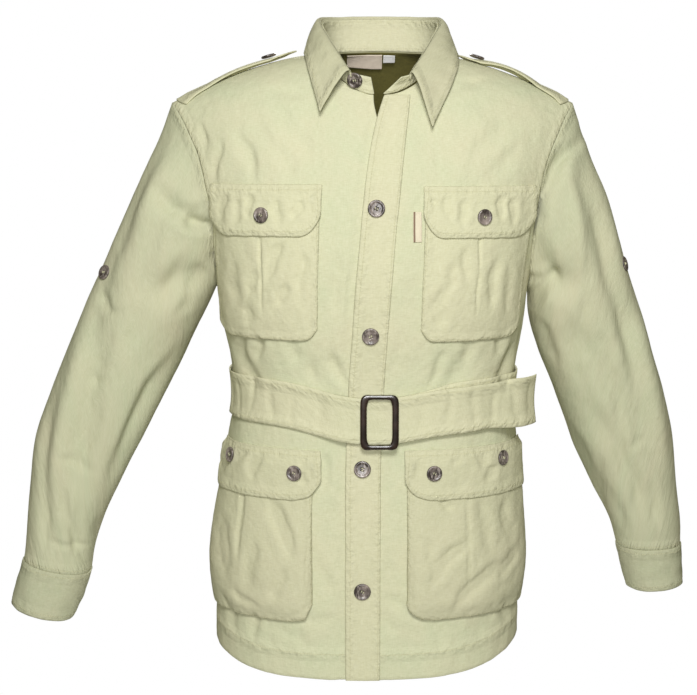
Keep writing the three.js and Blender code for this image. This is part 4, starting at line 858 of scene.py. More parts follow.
# Turn round the body from startX to the outer edge, in nearly even shares
def lowerTurn(p, startX, share, height):
    start = np.abs(turnFor(startX, height))
    even = share - pocketSet["crowd"] * np.sin(share * math.pi * 2)
    return p["side"] * (start + (pocketSet["outerTurn"] - start) * even)


# lift + (step + (puff - step) * fall) * plateau across: full below the flap, drawn in again at the foot
def lowerPuff(p, s, height):
    bagTop = p["top"] - pocketSet["bagStart"]
    down = np.clip((bagTop - height) / (bagTop - p["low"]), 0, 1)
    close = pocketSet["closeIn"] - pocketSet["closeOut"] * smooth((s - 0.5) * 2)
    fall = smooth((down - pocketSet["fallFrom"]) * pocketSet["fallRate"])
    fall = fall * (1 - np.clip((down - close) / (1 - close), 0, 1) ** 2)
    step = pocketSet["lowerStep"]
    puff = step + (pocketSet["lowerPuff"] - step) * fall
    return pocketSet["lowerLift"] + puff * plateau(s, pocketSet["lowerFlat"])


belt = {
    "width": 52, "thick": 1.8, "round": -400, "front": -418.5, "dipWidth": 22, "start": 4.5, "end": 437,
    "under": 2.4, "over": 6.4, "flare": 20, "drop": 6, "widen": 5, "columns": 480, "rows": 24,
    "riseAt": (338, 14), "flareAt": (404, 34), "dropAt": (370, 25), "widenAt": (405, 20),
    "perDegree": 2.6, "deepest": 1.3, "loopAt": 116, "loopWide": 4, "loopLonger": 20, "loopGap": 0.4,
    "loopClear": 0.8,
}


# round + (front - round) * exp(-(turn / dipWidth)^2): level all round, dipped at the buckle
def beltMiddle(turn):
    aside = (turn + 180) % 360 - 180
    return belt["round"] + (belt["front"] - belt["round"]) * np.exp(-((aside / belt["dipWidth"]) ** 2))


# How far out the belt lies: it rises where its end laps over, and the free end flares
def beltLayer(turn):
    rise = (belt["over"] - belt["under"]) * ramp(turn, *belt["riseAt"])
    return belt["under"] + rise + ramp(turn, *belt["flareAt"]) * belt["flare"]


# Soft creases across the belt: turn, top share, end turn, end share, bow, width and depth
beltCreases = [
    (-78, 0, -76, 1, 1, 7, -1.0), (-66, 0.1, -63, 1, -1, 6, -0.8), (-52, 0, -54, 0.8, 1, 7, -0.9),
    (-41, 0, -39, 1, -2, 8, -1.1), (-29, 0.2, -31, 1, 1, 6, -0.7), (-18, 0, -17, 1, 1, 7, -0.9),
    (14, 0, 15, 1, -1, 6, -0.8), (26, 0, 24, 0.9, 1, 7, -0.9), (37, 0, 38, 1, -1, 7, -1.0),
    (49, 0.1, 47, 1, 1, 6, -0.8), (60, 0, 63, 1, -2, 8, -1.1), (70, 0, 69, 0.8, 1, 6, -0.9),
    (95, 0, 93, 1, 1, 8, -1.0), (128, 0, 130, 1, -1, 7, -0.9), (150, 0, 148, 1, 1, 8, -1.0),
    (176, 0, 178, 1, 1, 8, -1.0), (-170, 0, -168, 1, -1, 7, -0.8), (-143, 0, -145, 1, 1, 8, -1.0),
    (-120, 0, -118, 1, 1, 7, -0.9), (-100, 0, -102, 1, -1, 7, -0.9),
]


def beltRelief(turn, r):  # the creases' depth, held above the cloth that the belt lies on
    aside = (turn + 180) % 360 - 180
    along, wide = belt["perDegree"], belt["width"]
    rows = [(a * along, b * wide, c * along, d * wide, *rest) for a, b, c, d, *rest in beltCreases]
    return np.maximum(creaseDepth(aside * along, r * wide, rows), -belt["deepest"])


# Once round the body and on over itself, upright, with its free end lower and wider
def beltPlace(s, r):
    turn = belt["start"] + (belt["end"] - belt["start"]) * s
    width = belt["width"] + belt["widen"] * ramp(turn, *belt["widenAt"])
    height = beltMiddle(turn) - belt["drop"] * ramp(turn, *belt["dropAt"]) + width * (0.5 - r)
    place, normal = torsoPlace(turn, height)
    level = unit(normal * np.array([1, 1, 0]))
    return place, level


straps = {
    "right": {"side": -1, "tip": 90, "lift": 2.5, "tipLift": 4},
    "left": {"side": 1, "tip": 96, "lift": 5, "tipLift": 1},
}
strapSet = {
    "start": 232, "wide": 24, "narrow": 19, "point": 14, "curve": 13, "button": 122, "behind": 2,
    "sewn": 0.4, "clear": 1.2, "sewnOver": 9, "bowFrom": 0.25, "bowOver": 0.6,
}


def shoulderPlace(x, y):  # the place on the crown at x and y
    chest = np.where(y < 0, body["chest"], body["backDepth"])
    turn, height = neckHeight(x, np.abs(y), chest, -y)
    return torsoPlace(turn, height)


# From the sleeve seam to the point: the seam end bulges by the square of the distance from the middle
# line, and the tip draws in by its power of 1.5
def strapPlace(p, s, r):
    aside = np.abs(2 * r - 1)
    start = strapSet["start"] - strapSet["curve"] * aside**2
    x = start + (p["tip"] + strapSet["point"] * aside**1.5 - start) * s
    half = strapSet["wide"] + (strapSet["narrow"] - strapSet["wide"]) * s
    return shoulderPlace(p["side"] * x, half * (2 * r - 1) - strapSet["behind"])


# sewn + clear + lift * sin(share of the bow) + tipLift * s^4
def strapBow(p, s):
    share = np.clip((s - strapSet["bowFrom"]) / strapSet["bowOver"], 0, 1)
    rise = strapSet["sewn"] + strapSet["clear"] * smooth(s * strapSet["sewnOver"])
    return rise + p["lift"] * np.sin(share * math.pi) + p["tipLift"] * s**4


collar = table(
    "foldX foldY foldZ edgeX edgeY edgeZ",
    (-36, -87, -23, -69, -106, -69),
    (-59, -45, 14, -85, -54, -12),
    (-71, 6, 41, -88, 0, 4),
    (-51, 45, 47, -66, 62, 0),
    (-4, 60, 49, -4, 80, -3),
    (50, 46, 47, 66, 62, -1),
    (72, 6, 41, 89, 0, 3),
    (58, -44, 12, 87, -62, -22),
    (34, -85, -25, 57, -110, -86),
)
collarSet = {
    "roll": 7, "rollOut": 0.5, "rollUp": 0.35, "tuck": 0.1, "tuckIn": 2.2, "tuckDown": 7, "axis": -10,
    "axisHeight": -40,
}


# Centripetal Catmull-Rom curve through the stations, t from 0 to 1
def stationCurve(kind, t):
    stations = np.stack([collar[kind + axis] for axis in "XYZ"], -1) + np.array([body["neckMiddle"], 0, 0])
    ends = np.concatenate([2 * stations[:1] - stations[1:2], stations, 2 * stations[-1:] - stations[-2:-1]])
    run = np.clip(t, 0, 1) * (len(stations) - 1)
    i = np.clip(run.astype(int), 0, len(stations) - 2)
    w = (run - i)[..., None]
    p0, p1, p2, p3 = (ends[i + k] for k in range(4))
    gap = lambda a, b: np.sqrt(np.linalg.norm(b - a, axis=-1, keepdims=True))
    d0, d1, d2 = gap(p0, p1), gap(p1, p2), gap(p2, p3)
    m1 = ((p1 - p0) / d0 - (p2 - p0) / (d0 + d1) + (p2 - p1) / d1) * d1
    m2 = ((p2 - p1) / d1 - (p3 - p1) / (d1 + d2) + (p3 - p2) / d2) * d1
    return p1 + m1 * w + (3 * (p2 - p1) - 2 * m1 - m2) * w**2 + (2 * (p1 - p2) + m1 + m2) * w**3


# The leaf: tucked down inside the fold, over it, then out and down to the free edge
def leafPoint(s, r):
    fall = np.clip((r - collarSet["tuck"]) / (1 - collarSet["tuck"]), 0, 1)
    inside = np.clip(1 - r / collarSet["tuck"], 0, 1)
    fold, edge = stationCurve("fold", s), stationCurve("edge", s)
    outward = unit((edge - fold) * np.array([1, 1, 0]))
    bulge = (np.sin(math.pi * np.sqrt(fall)) * collarSet["roll"])[..., None]
    place = fold + (edge - fold) * fall[..., None] + outward * bulge * collarSet["rollOut"]
    place = place + np.array([0, 0, collarSet["rollUp"]]) * bulge
    arc = inside * math.pi / 2
    place = place - outward * (collarSet["tuckIn"] * np.sin(arc))[..., None]
    return place - np.array([0, 0, 1]) * (collarSet["tuckDown"] * (1 - np.cos(arc)))[..., None]


# The leaf with the way out from it, which turns inward on the tucked strip
def leafPlace(s, r):
    place = leafPoint(s, r)
    outward = place - np.array([body["neckMiddle"], collarSet["axis"], collarSet["axisHeight"]])
    inside = np.clip(s, 0.006, 0.994)
    normal = normalOf(leafPoint, inside, np.clip(r, 0.03, 0.98), 0.006, 0.02, outward)
    tucked = (r < collarSet["tuck"] * 0.6)[..., None]
    centre = np.array([body["neckMiddle"], 0, 0]) - place * np.array([1, 1, 0])
    return place, np.where(tucked & (dot(normal, centre) < 0), -normal, normal)


standSet = {
    "lap": 0.07, "inside": 3.4, "foot": 0.9, "lift": 0.2, "buttonAlong": 0.05, "buttonUp": 0.62,
    "right": np.array([-4.0, -84.0, -31.0]), "left": np.array([31.0, -88.0, -31.0]),
}


# Straight lines from the neck edge up to just inside the leaf's fold, or to the two front corners
def standPoint(t, r):
    quarter = t * 4
    front = frontNeck(-1, np.clip(quarter, 0, 1))
    other = frontNeck(1, np.clip(4 - quarter, 0, 1))
    behind = backNeck(np.clip((quarter - 1) / 2, 0, 1))
    turn = np.where(quarter < 1, front[0], np.where(quarter > 3, other[0], behind[0]))
    height = np.where(quarter < 1, front[1], np.where(quarter > 3, other[1], behind[1]))
    foot = plainTorso(turn, height) + np.array([0, 0, standSet["foot"]])
    lap = standSet["lap"]
    inside = stationCurve("fold", np.clip((t - lap) / (1 - 2 * lap), 0, 1))
    centre = point(body["neckMiddle"], inside[..., 1] * 0.3, inside[..., 2])
    inside = inside + unit(centre - inside) * standSet["inside"] - np.array([0, 0, standSet["inside"]])
    start, end = smooth(t / lap)[..., None], smooth((1 - t) / lap)[..., None]
    top = np.where(t[..., None] < lap, standSet["right"] * (1 - start) + inside * start, inside)
    top = np.where(t[..., None] > 1 - lap, standSet["left"] * (1 - end) + inside * end, top)
    return foot + (top - foot) * r[..., None]


# The stand, with its normal turned away from the neck's middle
def standPlace(s, r):
    place = standPoint(s, r)
    outward = place * np.array([1, 1, 0]) - np.array([body["neckMiddle"], collarSet["axis"], 0])
    return place, normalOf(standPoint, np.clip(s, 0.015, 0.985), np.clip(r, 0.1, 0.9), 0.012, 0.1, outward)


# Materials. A socket wrapped so that maths on it adds Math nodes.
class Link:
    def __init__(self, tree, socket):
        self.tree, self.socket = tree, socket

    def math(self, operation, *values):
        made = self.tree.nodes.new("ShaderNodeMath")
        made.operation = operation
        for place, value in enumerate(values):
            if isinstance(value, Link):
                self.tree.links.new(value.socket, made.inputs[place])
            else:
                made.inputs[place].default_value = value
        return Link(self.tree, made.outputs[0])

    def sine(self):
        return self.math("SINE", self)

    def most(self, other):
        return self.math("MAXIMUM", self, other)

    def least(self, other):
        return self.math("MINIMUM", self, other)

    def __abs__(self):
        return self.math("ABSOLUTE", self)


# The five signs, each also with a plain number in front
def overload(sign, operation):
    setattr(Link, f"__{sign}__", lambda self, other: self.math(operation, self, other))
    setattr(Link, f"__r{sign}__", lambda self, other: self.math(operation, other, self))


for signName, nodeName in (("add", "ADD"), ("sub", "SUBTRACT"), ("mul", "MULTIPLY"),
                             ("truediv", "DIVIDE"), ("pow", "POWER")):
    overload(signName, nodeName)


# A material: its shader's settings, and one method that makes every other node
class Finish:
    def __init__(self, name, **shader):
        self.material = bpy.data.materials.new(name)
        self.material.use_nodes = True
        self.tree = self.material.node_tree
        self.shader = next(n for n in self.tree.nodes if n.type == "BSDF_PRINCIPLED")
        for socket, value in shader.items():
            self.shader.inputs[socket.replace("_", " ")].default_value = value

    # Any node: its type, its settings, then the values or links of its sockets
    def node(self, kind, settings=None, output=0, **sockets):
        made = self.tree.nodes.new(kind)
        for key, value in (settings or {}).items():
            setattr(made, key, value)
        for key, value in sockets.items():
            socket = made.inputs[int(key[1:])] if key[1:].isdigit() else made.inputs[key.replace("_", " ")]
            if isinstance(value, Link):
                self.tree.links.new(value.socket, socket)
            else:
                socket.default_value = value
        return Link(self.tree, made.outputs[output])

    def parts(self, vector):
        return [self.node("ShaderNodeSeparateXYZ", output=k, Vector=vector) for k in range(3)]

    # Noise of vector * stretch
    def noise(self, vector, scale, detail=3.0, roughness=0.55, stretch=None):
        if stretch is not None:
            vector = self.node("ShaderNodeVectorMath", {"operation": "MULTIPLY"}, i0=vector, i1=stretch)
        return self.node("ShaderNodeTexNoise", Vector=vector, Scale=scale, Detail=detail, Roughness=roughness)

    # first * (1 - factor) + second * factor
    def mixColour(self, factor, first, second):
        return self.node("ShaderNodeMix", {"data_type": "RGBA"}, 2, i0=factor, i6=first, i7=second)

    def bump(self, height, distance, strength=1.0, below=None):
        sockets = {"Height": height, "Distance": distance, "Strength": strength}
        if below is not None:
            sockets["Normal"] = below
        return self.node("ShaderNodeBump", **sockets)

    # The piece's cut in metres, and its distance from each of the four edges
    def edges(self):
        cut = self.node("ShaderNodeUVMap", {"uv_map": "cut"})
        rest = self.node("ShaderNodeUVMap", {"uv_map": "rest"})
        left, first, _ = self.parts(cut)
        right, last, _ = self.parts(rest)
        return cut, {"left": left, "right": right, "first": first, "last": last}

    def feed(self, **links):
        for socket, link in links.items():
            self.tree.links.new(link.socket, self.shader.inputs[socket.replace("_", " ")])


# The multiplier darkens a colour; below 1 on a cloth piece it is painted shade
def colour(hexText, shadeGain=1.0):  # screen colour to the shader's linear one, times gain
    values = [int(hexText[k:k + 2], 16) / 255 for k in (0, 2, 4)]
    linear = [v / 12.92 if v <= 0.04045 else ((v + 0.055) / 1.055) ** 2.4 for v in values]
    return tuple(min(1, shadeGain * v) for v in linear) + (1.0,)


# Lengths in metres. A stretch is the noise's cells per metre along and across the threads.
clothSet = {
    "green": "c3c9a8", "pale": "cac9a8", "warm": "cfcaac", "light": "d6d5ba", "deep": "adab84",
    # Painted shade: the first colour on the next line darkens the seams' grooves
    "grooveShade": "a09c70", "insideShade": "5f5a2c", "grooveShadeShare": 0.16, "roughness": 0.9, "sheen": 0.03,
    # Painted shade: the second colour on the line above darkens the inner layer of the back and fronts
    "sheenRoughness": 0.6, "specular": 0.22, "threads": 0.00062, "threadDepth": 0.00006,
    "slub": (90.0, 900.0), "pick": (140.0, 900.0), "slubDepth": 0.00012, "crumple": 58.0,
    "crumpleDepth": 0.0036, "mottle": 7.0, "groove": 0.0011, "grooveDepth": 0.00028,
    "pucker": 0.009, "puckers": 150.0, "puckerDepth": 0.0036,
}


# Woven cotton. Its pattern follows the piece's own UV maps, which count metres from each edge.
# lines are (edge, distance in mm) of each topstitched seam, which is grooved, puckers and gets painted shade
# along its groove.
# A piece's multiplier below 1 makes a darker copy of the cotton, as painted shade
def makeCloth(name, lines, shadeGain, turned, tone, insideShade):
    c = clothSet
    finish = Finish(name, Roughness=c["roughness"], Sheen_Weight=c["sheen"],
                    Sheen_Roughness=c["sheenRoughness"], Specular_IOR_Level=c["specular"])
    cut, edges = finish.edges()
    across, down = (edges["first"], edges["left"]) if turned else (edges["left"], edges["first"])
    turn = 2 * math.pi / c["threads"]
    weave = (across * turn).sine() * (down * turn).sine()
    slub = finish.noise(cut, 1.0, 3.0, 0.6, (c["slub"] if turned else c["slub"][::-1]) + (1.0,))
    pick = finish.noise(cut, 1.0, 3.0, 0.6, (c["pick"][::-1] if turned else c["pick"]) + (1.0,))
    crumple = finish.noise(cut, c["crumple"], 5.0, 0.6)
    mottle = finish.noise(cut, c["mottle"], 4.0, 0.65)
    groove, pucker = None, None
    for edge, away in lines:
        distance = abs(edges[edge] - away * mm)
        dip = (1 - distance / c["groove"]).most(0.0)
        near = (1 - distance / c["pucker"]).most(0.0)
        groove = dip if groove is None else groove.most(dip)
        pucker = near if pucker is None else pucker.most(near)
    warmth = ((mottle - 0.5) * 3.0 + 0.5).least(1.0).most(0.0)
    base = finish.mixColour(warmth, colour(c[tone], shadeGain), colour(c["warm"], shadeGain))
    lightness = ((slub - 0.5) * 1.6 + 0.25).least(0.5).most(0.0)
    base = finish.mixColour(lightness, base, colour(c["light"], shadeGain))
    depth = ((pick - 0.5) * 0.9 + 0.12).least(0.3).most(0.0)
    base = finish.mixColour(depth, base, colour(c["deep"], shadeGain))
    normal = finish.bump(weave, c["threadDepth"], 0.5)
    normal = finish.bump(slub + pick, c["slubDepth"], 0.6, normal)
    normal = finish.bump(crumple, c["crumpleDepth"], 0.5, normal)
    if groove is not None:
        # Painted shade: the colour darkens along each seam's groove
        base = finish.mixColour(groove * c["grooveShadeShare"], base, colour(c["grooveShade"], shadeGain))
        waves = finish.noise(cut, c["puckers"], 2.0, 0.5)
        normal = finish.bump(waves * pucker, c["puckerDepth"], 0.8, normal)
        normal = finish.bump(0.0 - groove, c["grooveDepth"], 0.8, normal)
    # Painted shade: the inner layer, marked by the inside attribute, takes a dark colour
    if insideShade:
        inside = finish.node("ShaderNodeAttribute", {"attribute_name": "inside"}, output=2)
        base = finish.mixColour(inside, base, colour(c["insideShade"], shadeGain))
    finish.feed(Base_Color=base, Normal=normal)
    return finish.material


# Horn-look buttons: mottled, with painted shade towards the rim and in the holes
# The hole colour is painted shade, mixed in at the holes and the rim
hornSet = {"dark": "3a3230", "mid": "968983", "light": "d0c4bc", "hole": "17110e", "roughness": 0.34}


def makeHorn():
    finish = Finish("horn_button", Roughness=hornSet["roughness"], Coat_Weight=0.15)
    where = finish.node("ShaderNodeTexCoord", output=3)
    cloud = finish.noise(where, 75.0, 3.0, 0.55)
    streak = finish.noise(where, 1.0, 4.0, 0.6, (420.0, 420.0, 140.0))
    base = finish.mixColour((cloud - 0.38) * 3.2, colour(hornSet["dark"]), colour(hornSet["mid"]))
    base = finish.mixColour((streak - 0.5) * 3.0, base, colour(hornSet["light"]))
    shade = finish.node("ShaderNodeAttribute", {"attribute_name": "shade"}, output=2)
    base = finish.mixColour(shade, base, colour(hornSet["hole"]))
    finish.feed(Base_Color=base, Normal=finish.bump(streak, 0.0002, 0.3))
    return finish.material


resinSet = {"dark": "1d1210", "light": "3b2823"}


# Dark glossy resin with a faint cloud in it
def makeBuckleFinish():
    finish = Finish("buckle_resin", Roughness=0.22, Coat_Weight=0.5, Coat_Roughness=0.12)
    where = finish.node("ShaderNodeTexCoord", output=3)
    cloud = finish.noise(where, 60.0, 3.0, 0.6)
    base = finish.mixColour((cloud - 0.4) * 2.5, colour(resinSet["dark"]), colour(resinSet["light"]))
    finish.feed(Base_Color=base, Roughness=0.2 + cloud * 0.1)
    return finish.material


# Thread of one colour that varies a little from place to place
def makeThread():
    finish = Finish("sewing_thread", Roughness=0.75, Sheen_Weight=0.1)
    where = finish.node("ShaderNodeTexCoord", output=3)
    tone = finish.noise(where, 90.0, 2.0, 0.5)
    finish.feed(Base_Color=finish.mixColour(tone, colour("c4c19c"), colour("d2cfae")))
    return finish.material


# In metres: the ribs' pitch, the border's middle and half width, the sewn line's the same
labelSet = {
    "ribs": 0.0006, "borderAt": 0.0012, "borderHalf": 0.0014, "seamAt": 0.0016, "seamHalf": 0.0005,
}


# Ribbed weave, a sewn line all round and a coloured band at the left if there is a border
def makeLabel(name, pale, shadow, border=None):
    finish = Finish(name, Roughness=0.6, Sheen_Weight=0.1)
    cut, edges = finish.edges()
    left, first = edges["left"], edges["first"]
    near = left.least(edges["right"]).least(first).least(edges["last"])
    ribs = (first * (2 * math.pi / labelSet["ribs"])).sine()
    tone = finish.noise(cut, 300.0, 2.0, 0.5)
    base = finish.mixColour(tone * 0.4, colour(pale), colour(shadow))
    if border:
        band = (1 - abs(left - labelSet["borderAt"]) / labelSet["borderHalf"]).most(0.0)
        base = finish.mixColour(band * 1.4, base, colour(border))
    seam = (1 - abs(near - labelSet["seamAt"]) / labelSet["seamHalf"]).most(0.0)
    base = finish.mixColour(seam * 0.35, base, colour(shadow))
    finish.feed(Base_Color=base, Normal=finish.bump(ribs, 0.00008, 0.6))
    return finish.material


hornFinish, buckleFinish, threadFinish = makeHorn(), makeBuckleFinish(), makeThread()

# Thread: short stitches along a line that runs a set distance inside an edge of a cloth piece
threadSet = {"pitch": 3.1, "length": 2.4, "wide": 0.34, "high": 0.22, "sunk": 0.15, "squares": (0.22, 0.78)}
threadRuns = {}


# Points and normals along a line that runs away mm inside one edge of a grid
def insetLine(layer, normal, edge, away):
    if edge in ("first", "last"):
        layer, normal = np.swapaxes(layer, 0, 1), np.swapaxes(normal, 0, 1)
    if edge in ("right", "last"):
        layer, normal = layer[:, ::-1], normal[:, ::-1]
    steps = np.linalg.norm(np.diff(layer, axis=1), axis=-1)
    run = np.pad(np.cumsum(steps, axis=1), ((0, 0), (1, 0)))
    i = np.clip((run < away).sum(axis=1) - 1, 0, run.shape[1] - 2)
    row = np.arange(len(run))
    t = ((away - run[row, i]) / np.maximum(run[row, i + 1] - run[row, i], 1e-6))[:, None]
    return layer[row, i] * (1 - t) + layer[row, i + 1] * t, unit(normal[row, i])


# Each stitch has ten points: a tip, two squares and a tip
def addStitches(group, line, normals):
    c = threadSet
    steps = np.linalg.norm(np.diff(line, axis=0), axis=-1)
    run = np.concatenate([[0], np.cumsum(steps)])
    if run[-1] < c["pitch"] * 2:
        return
    at = np.arange(c["pitch"] / 2, run[-1] - c["pitch"] / 2, c["pitch"])
    read = lambda values, x: np.stack([np.interp(x, run, values[:, k]) for k in range(3)], -1)
    a, b = read(line, at - c["length"] / 2), read(line, at + c["length"] / 2)
    up = unit(read(normals, at))
    along = unit(b - a)
    side = unit(np.cross(along, up))
    mids = [a + (b - a) * share for share in c["squares"]]
    ring = [side * c["wide"], up * c["high"], -side * c["wide"], -up * c["high"]]
    sunk = up * c["sunk"]
    points = [a - sunk] + [m + offset for m in mids for offset in ring] + [b - sunk]
    threadRuns.setdefault(group, []).append(np.stack(points, axis=1))


def makeStitching(group):  # all the stitches of a group as one piece
    points = np.concatenate(threadRuns[group])
    faces = [[0, 1 + k, 1 + (k + 1) % 4] for k in range(4)]
    for k in range(4):
        faces += [[1 + k, 5 + k, 5 + (k + 1) % 4], [1 + k, 5 + (k + 1) % 4, 1 + (k + 1) % 4]]
    faces = np.array(faces + [[9, 5 + (k + 1) % 4, 5 + k] for k in range(4)])
    if not turnedOut(points[0], faces):
        faces = faces[:, ::-1]
    every = (faces[None] + (np.arange(len(points)) * 10)[:, None, None]).reshape(-1, 3)
    meshFrom(group + "_stitching", points.reshape(-1, 3), every, None, threadFinish)


paleGroups = ("pocket", "belt", "strap", "collar")


# One cloth piece: its wall, its finish with the seams' grooves, its stitches and its sheet
def sewnPiece(name, place, columns, rows, outer, inner, lines=(), group="body", shadeGain=1.0, turned=False,
              around=False, material=None):
    tone = "pale" if group in paleGroups or name == "placket" else "green"
    # The back and fronts get painted shade on their inner layer
    insideShade = name in ("back", "front_right", "front_left")
    material = material or makeCloth(name + "_cotton", lines, shadeGain, turned, tone, insideShade)
    piece, cut, layer, normal = wallMesh(
        name + "_cloth", place, columns, rows, outer, inner, material, around)
    declareSheet(name, cut)
    for edge, away in lines:
        line, up = insetLine(layer, normal, edge, away)
        addStitches(group, line, up)


wall = body["wall"]


seamIn = 0.15  # each panel's half of the gap at the side seam


# The left front's grid, moved forward by half a seam's gap
def frontLeftPlace(s, r):
    return torsoPlace(*frontGrid(1, s, r), -seamIn)


# The right front has a strip at its edge that dips to pass under the left one
underSet = {"columns": 16, "strip": 2, "dip": 2.0, "covered": 3}


def underColumn(s):  # 0 at the start of the panel's own grid, below it in the strip
    return s * underSet["columns"] - underSet["strip"]


# The strip's columns run from under the placket to the panel's edge and on to its dipped line
def frontRightPlace(s, r):
    column = underColumn(s)
    own = underSet["columns"] - underSet["strip"]
    turn, height = frontGrid(-1, np.maximum(column, 0) / own, r)
    covered = np.minimum(placketEdge(height), underEdge(height)) - underSet["covered"]
    first = dipEdge(height) + (covered - dipEdge(height)) * np.clip(-column, 0, 1)
    x = first + (underEdge(height) - covered) * np.clip(-column - 1, 0, 1)
    return torsoPlace(np.where(column >= 0, turn, turnFor(x, height)), height, -seamIn)


def dipDepth(s, r):  # -dip over the strip, level on the panel
    return -underSet["dip"] * smooth(-underColumn(s))


placketSet = {"lift": 0.45, "lower": 1.5}


# From the placket's inner edge to the closing line, its top end a little lower than the panel's
def placketPlace(s, r):
    height = frontGrid(1, np.zeros_like(s), r)[1] - placketSet["lower"] * smooth((r - 0.9) * 10)
    left = placketEdge(height)
    x = left + (closingLine(height) + body["placketRight"] - left) * s
    return torsoPlace(turnFor(x, height), height)


# Panels and sleeves lie from 0 to -wall, cuffs from 1.2 to -1.2, and the placket on top of the front
def makeBody():
    sewnPiece("front_right", frontRightPlace, 92, 170, dipDepth, lambda s, r: dipDepth(s, r) - wall,
              [("first", 30), ("right", 3)])
    sewnPiece("front_left", frontLeftPlace, 86, 170, 0, -wall, [("first", 30), ("right", 3)])
    sewnPiece("back", lambda s, r: torsoPlace(*backGrid(s, r), seamIn), 124, 170, 0, -wall,
              [("first", 30), ("left", 3), ("right", 3)])
    lift = placketSet["lift"]
    sewnPiece("placket", placketPlace, 26, 170, lift + wall, lift, [("left", 5), ("right", 2)])
    for name in ("right", "left"):
        # The sleeves and cuffs are darker copies of the cotton, as painted shade
        sewnPiece("sleeve_" + name, lambda s, r: sleevePlace(name, s, r), sleeveSet["columns"],
                  sleeveSet["rows"], 0, -wall, [("first", 4), ("last", 4)], "sleeve", shadeGain=0.88, around=True)
        sewnPiece("cuff_" + name, lambda s, r: cuffPlace(name, s, r), 132, 34, 1.2, -1.2,
                  [("first", 4), ("last", 5)], "sleeve", shadeGain=0.8, around=True)


relief = {"bag": 1.3, "pleat": 0.5, "bagLow": -2.2, "flap": 1.6, "flapLow": -1.9, "high": 3, "edge": 12}


# Creases and pressed pleats of a bag, which fade at its sewn edges, held between bagLow and high
def pocketRelief(x, z, s):
    edges = smooth(s * relief["edge"]) * smooth((1 - s) * relief["edge"])
    depth = relief["bag"] * creaseDepth(x, z, pocketCreases) + creaseDepth(x, z, pleats, relief["pleat"])
    return np.clip(depth, relief["bagLow"], relief["high"]) * edges


def flapRelief(x, z):  # the creases of a flap, held between flapLow and high
    return np.clip(relief["flap"] * creaseDepth(x, z, flapCreases), relief["flapLow"], relief["high"])


bagLines = [("left", 2), ("right", 2), ("last", 2)]
flapLines = [("left", 5), ("right", 5), ("last", 5), ("first", 6)]


# bag: puff + its creases. over: puff + flapOver + the flap's creases, sewn down at the top
def makeChestPocket(name, p):
    puff = lambda s, z: chestPuff(p, s, z)

    def bagPlace(s, r):
        z, inset = bagHeight(p, "chestBag", s, r), pocketSet["inset"]
        return frontPlace(chestX(p, z, inset + (1 - 2 * inset) * s), z)

    def bag(s, r):
        z = bagHeight(p, "chestBag", s, r)
        return puff(s, z) + pocketRelief(chestX(p, z, s), z, s)

    sewnPiece("chest_pocket_" + name, bagPlace, 84, 96, lambda s, r: bag(s, r) + wall, bag,
              bagLines, "pocket")

    def flapPlace(s, r):
        z = flapHeight(p, "chestFlap", s, r)
        return frontPlace(chestX(p, z, s), z)

    def over(s, r):
        z = flapHeight(p, "chestFlap", s, r)
        lift = puff(np.clip(s, 0.1, 0.9), z) + pocketSet["flapOver"] + flapRelief(chestX(p, z, s), z)
        return flapUnder(lift, r)

    sewnPiece("chest_flap_" + name, flapPlace, 84, 44, lambda s, r: over(s, r) + wall, over,
              flapLines, "pocket")
    z = np.array([p["top"] - pocketSet["chestButton"]])
    lift = puff(np.array([0.5]), z) + pocketSet["flapOver"] + wall + buttonSet["chestClear"]
    addButton("chest_button_" + name, frontPlace(np.array([float(p["button"])]), z), lift[0], "small")


# The same, in turns round the body, with two buttons on the flap
def makeLowerPocket(name, p):
    def bagAt(s, r):
        height = bagHeight(p, "lowerBag", s, r)
        return lowerTurn(p, p["bagIn"], s, height), height

    def bag(s, r):
        turn, height = bagAt(s, r)
        return lowerPuff(p, s, height) + pocketRelief(plainTorso(turn, height)[..., 0], height, s)

    # The bag is a slightly darker copy of the cotton, as painted shade
    sewnPiece("lower_pocket_" + name, lambda s, r: torsoPlace(*bagAt(s, r)), 104, 110,
              lambda s, r: bag(s, r) + wall, bag, bagLines, "pocket", shadeGain=0.93)

    def flapAt(s, r):
        height = flapHeight(p, "lowerFlap", s, r)
        return lowerTurn(p, p["flapIn"], s * pocketSet["flapReach"], height), height

    def over(s, r):
        turn, height = flapAt(s, r)
        x = plainTorso(turn, height)[..., 0]
        lift = lowerPuff(p, 0.5, height) + pocketSet["flapOver"] + flapRelief(x, height)
        return flapUnder(lift, r) + pocketSet["topLift"] * (r < pocketSet["topShare"])

    # The flap is a slightly darker copy of the cotton, as painted shade
    sewnPiece("lower_flap_" + name, lambda s, r: torsoPlace(*flapAt(s, r)), 104, 44,
              lambda s, r: over(s, r) + wall, over, flapLines, "pocket", shadeGain=0.96)
    for index, (x, rise) in enumerate(((p["inner"], 0), (p["outer"], pocketSet["outerRise"]))):
        height = np.array([p["top"] - pocketSet["lowerButton"] + float(rise)])
        lift = lowerPuff(p, 0.5, height) + pocketSet["flapOver"] + wall + buttonSet["clear"]
        place = torsoPlace(turnFor(np.array([float(x)]), height), height)
        addButton(f"lower_button_{name}_{index + 1}", place, lift[0], "small")


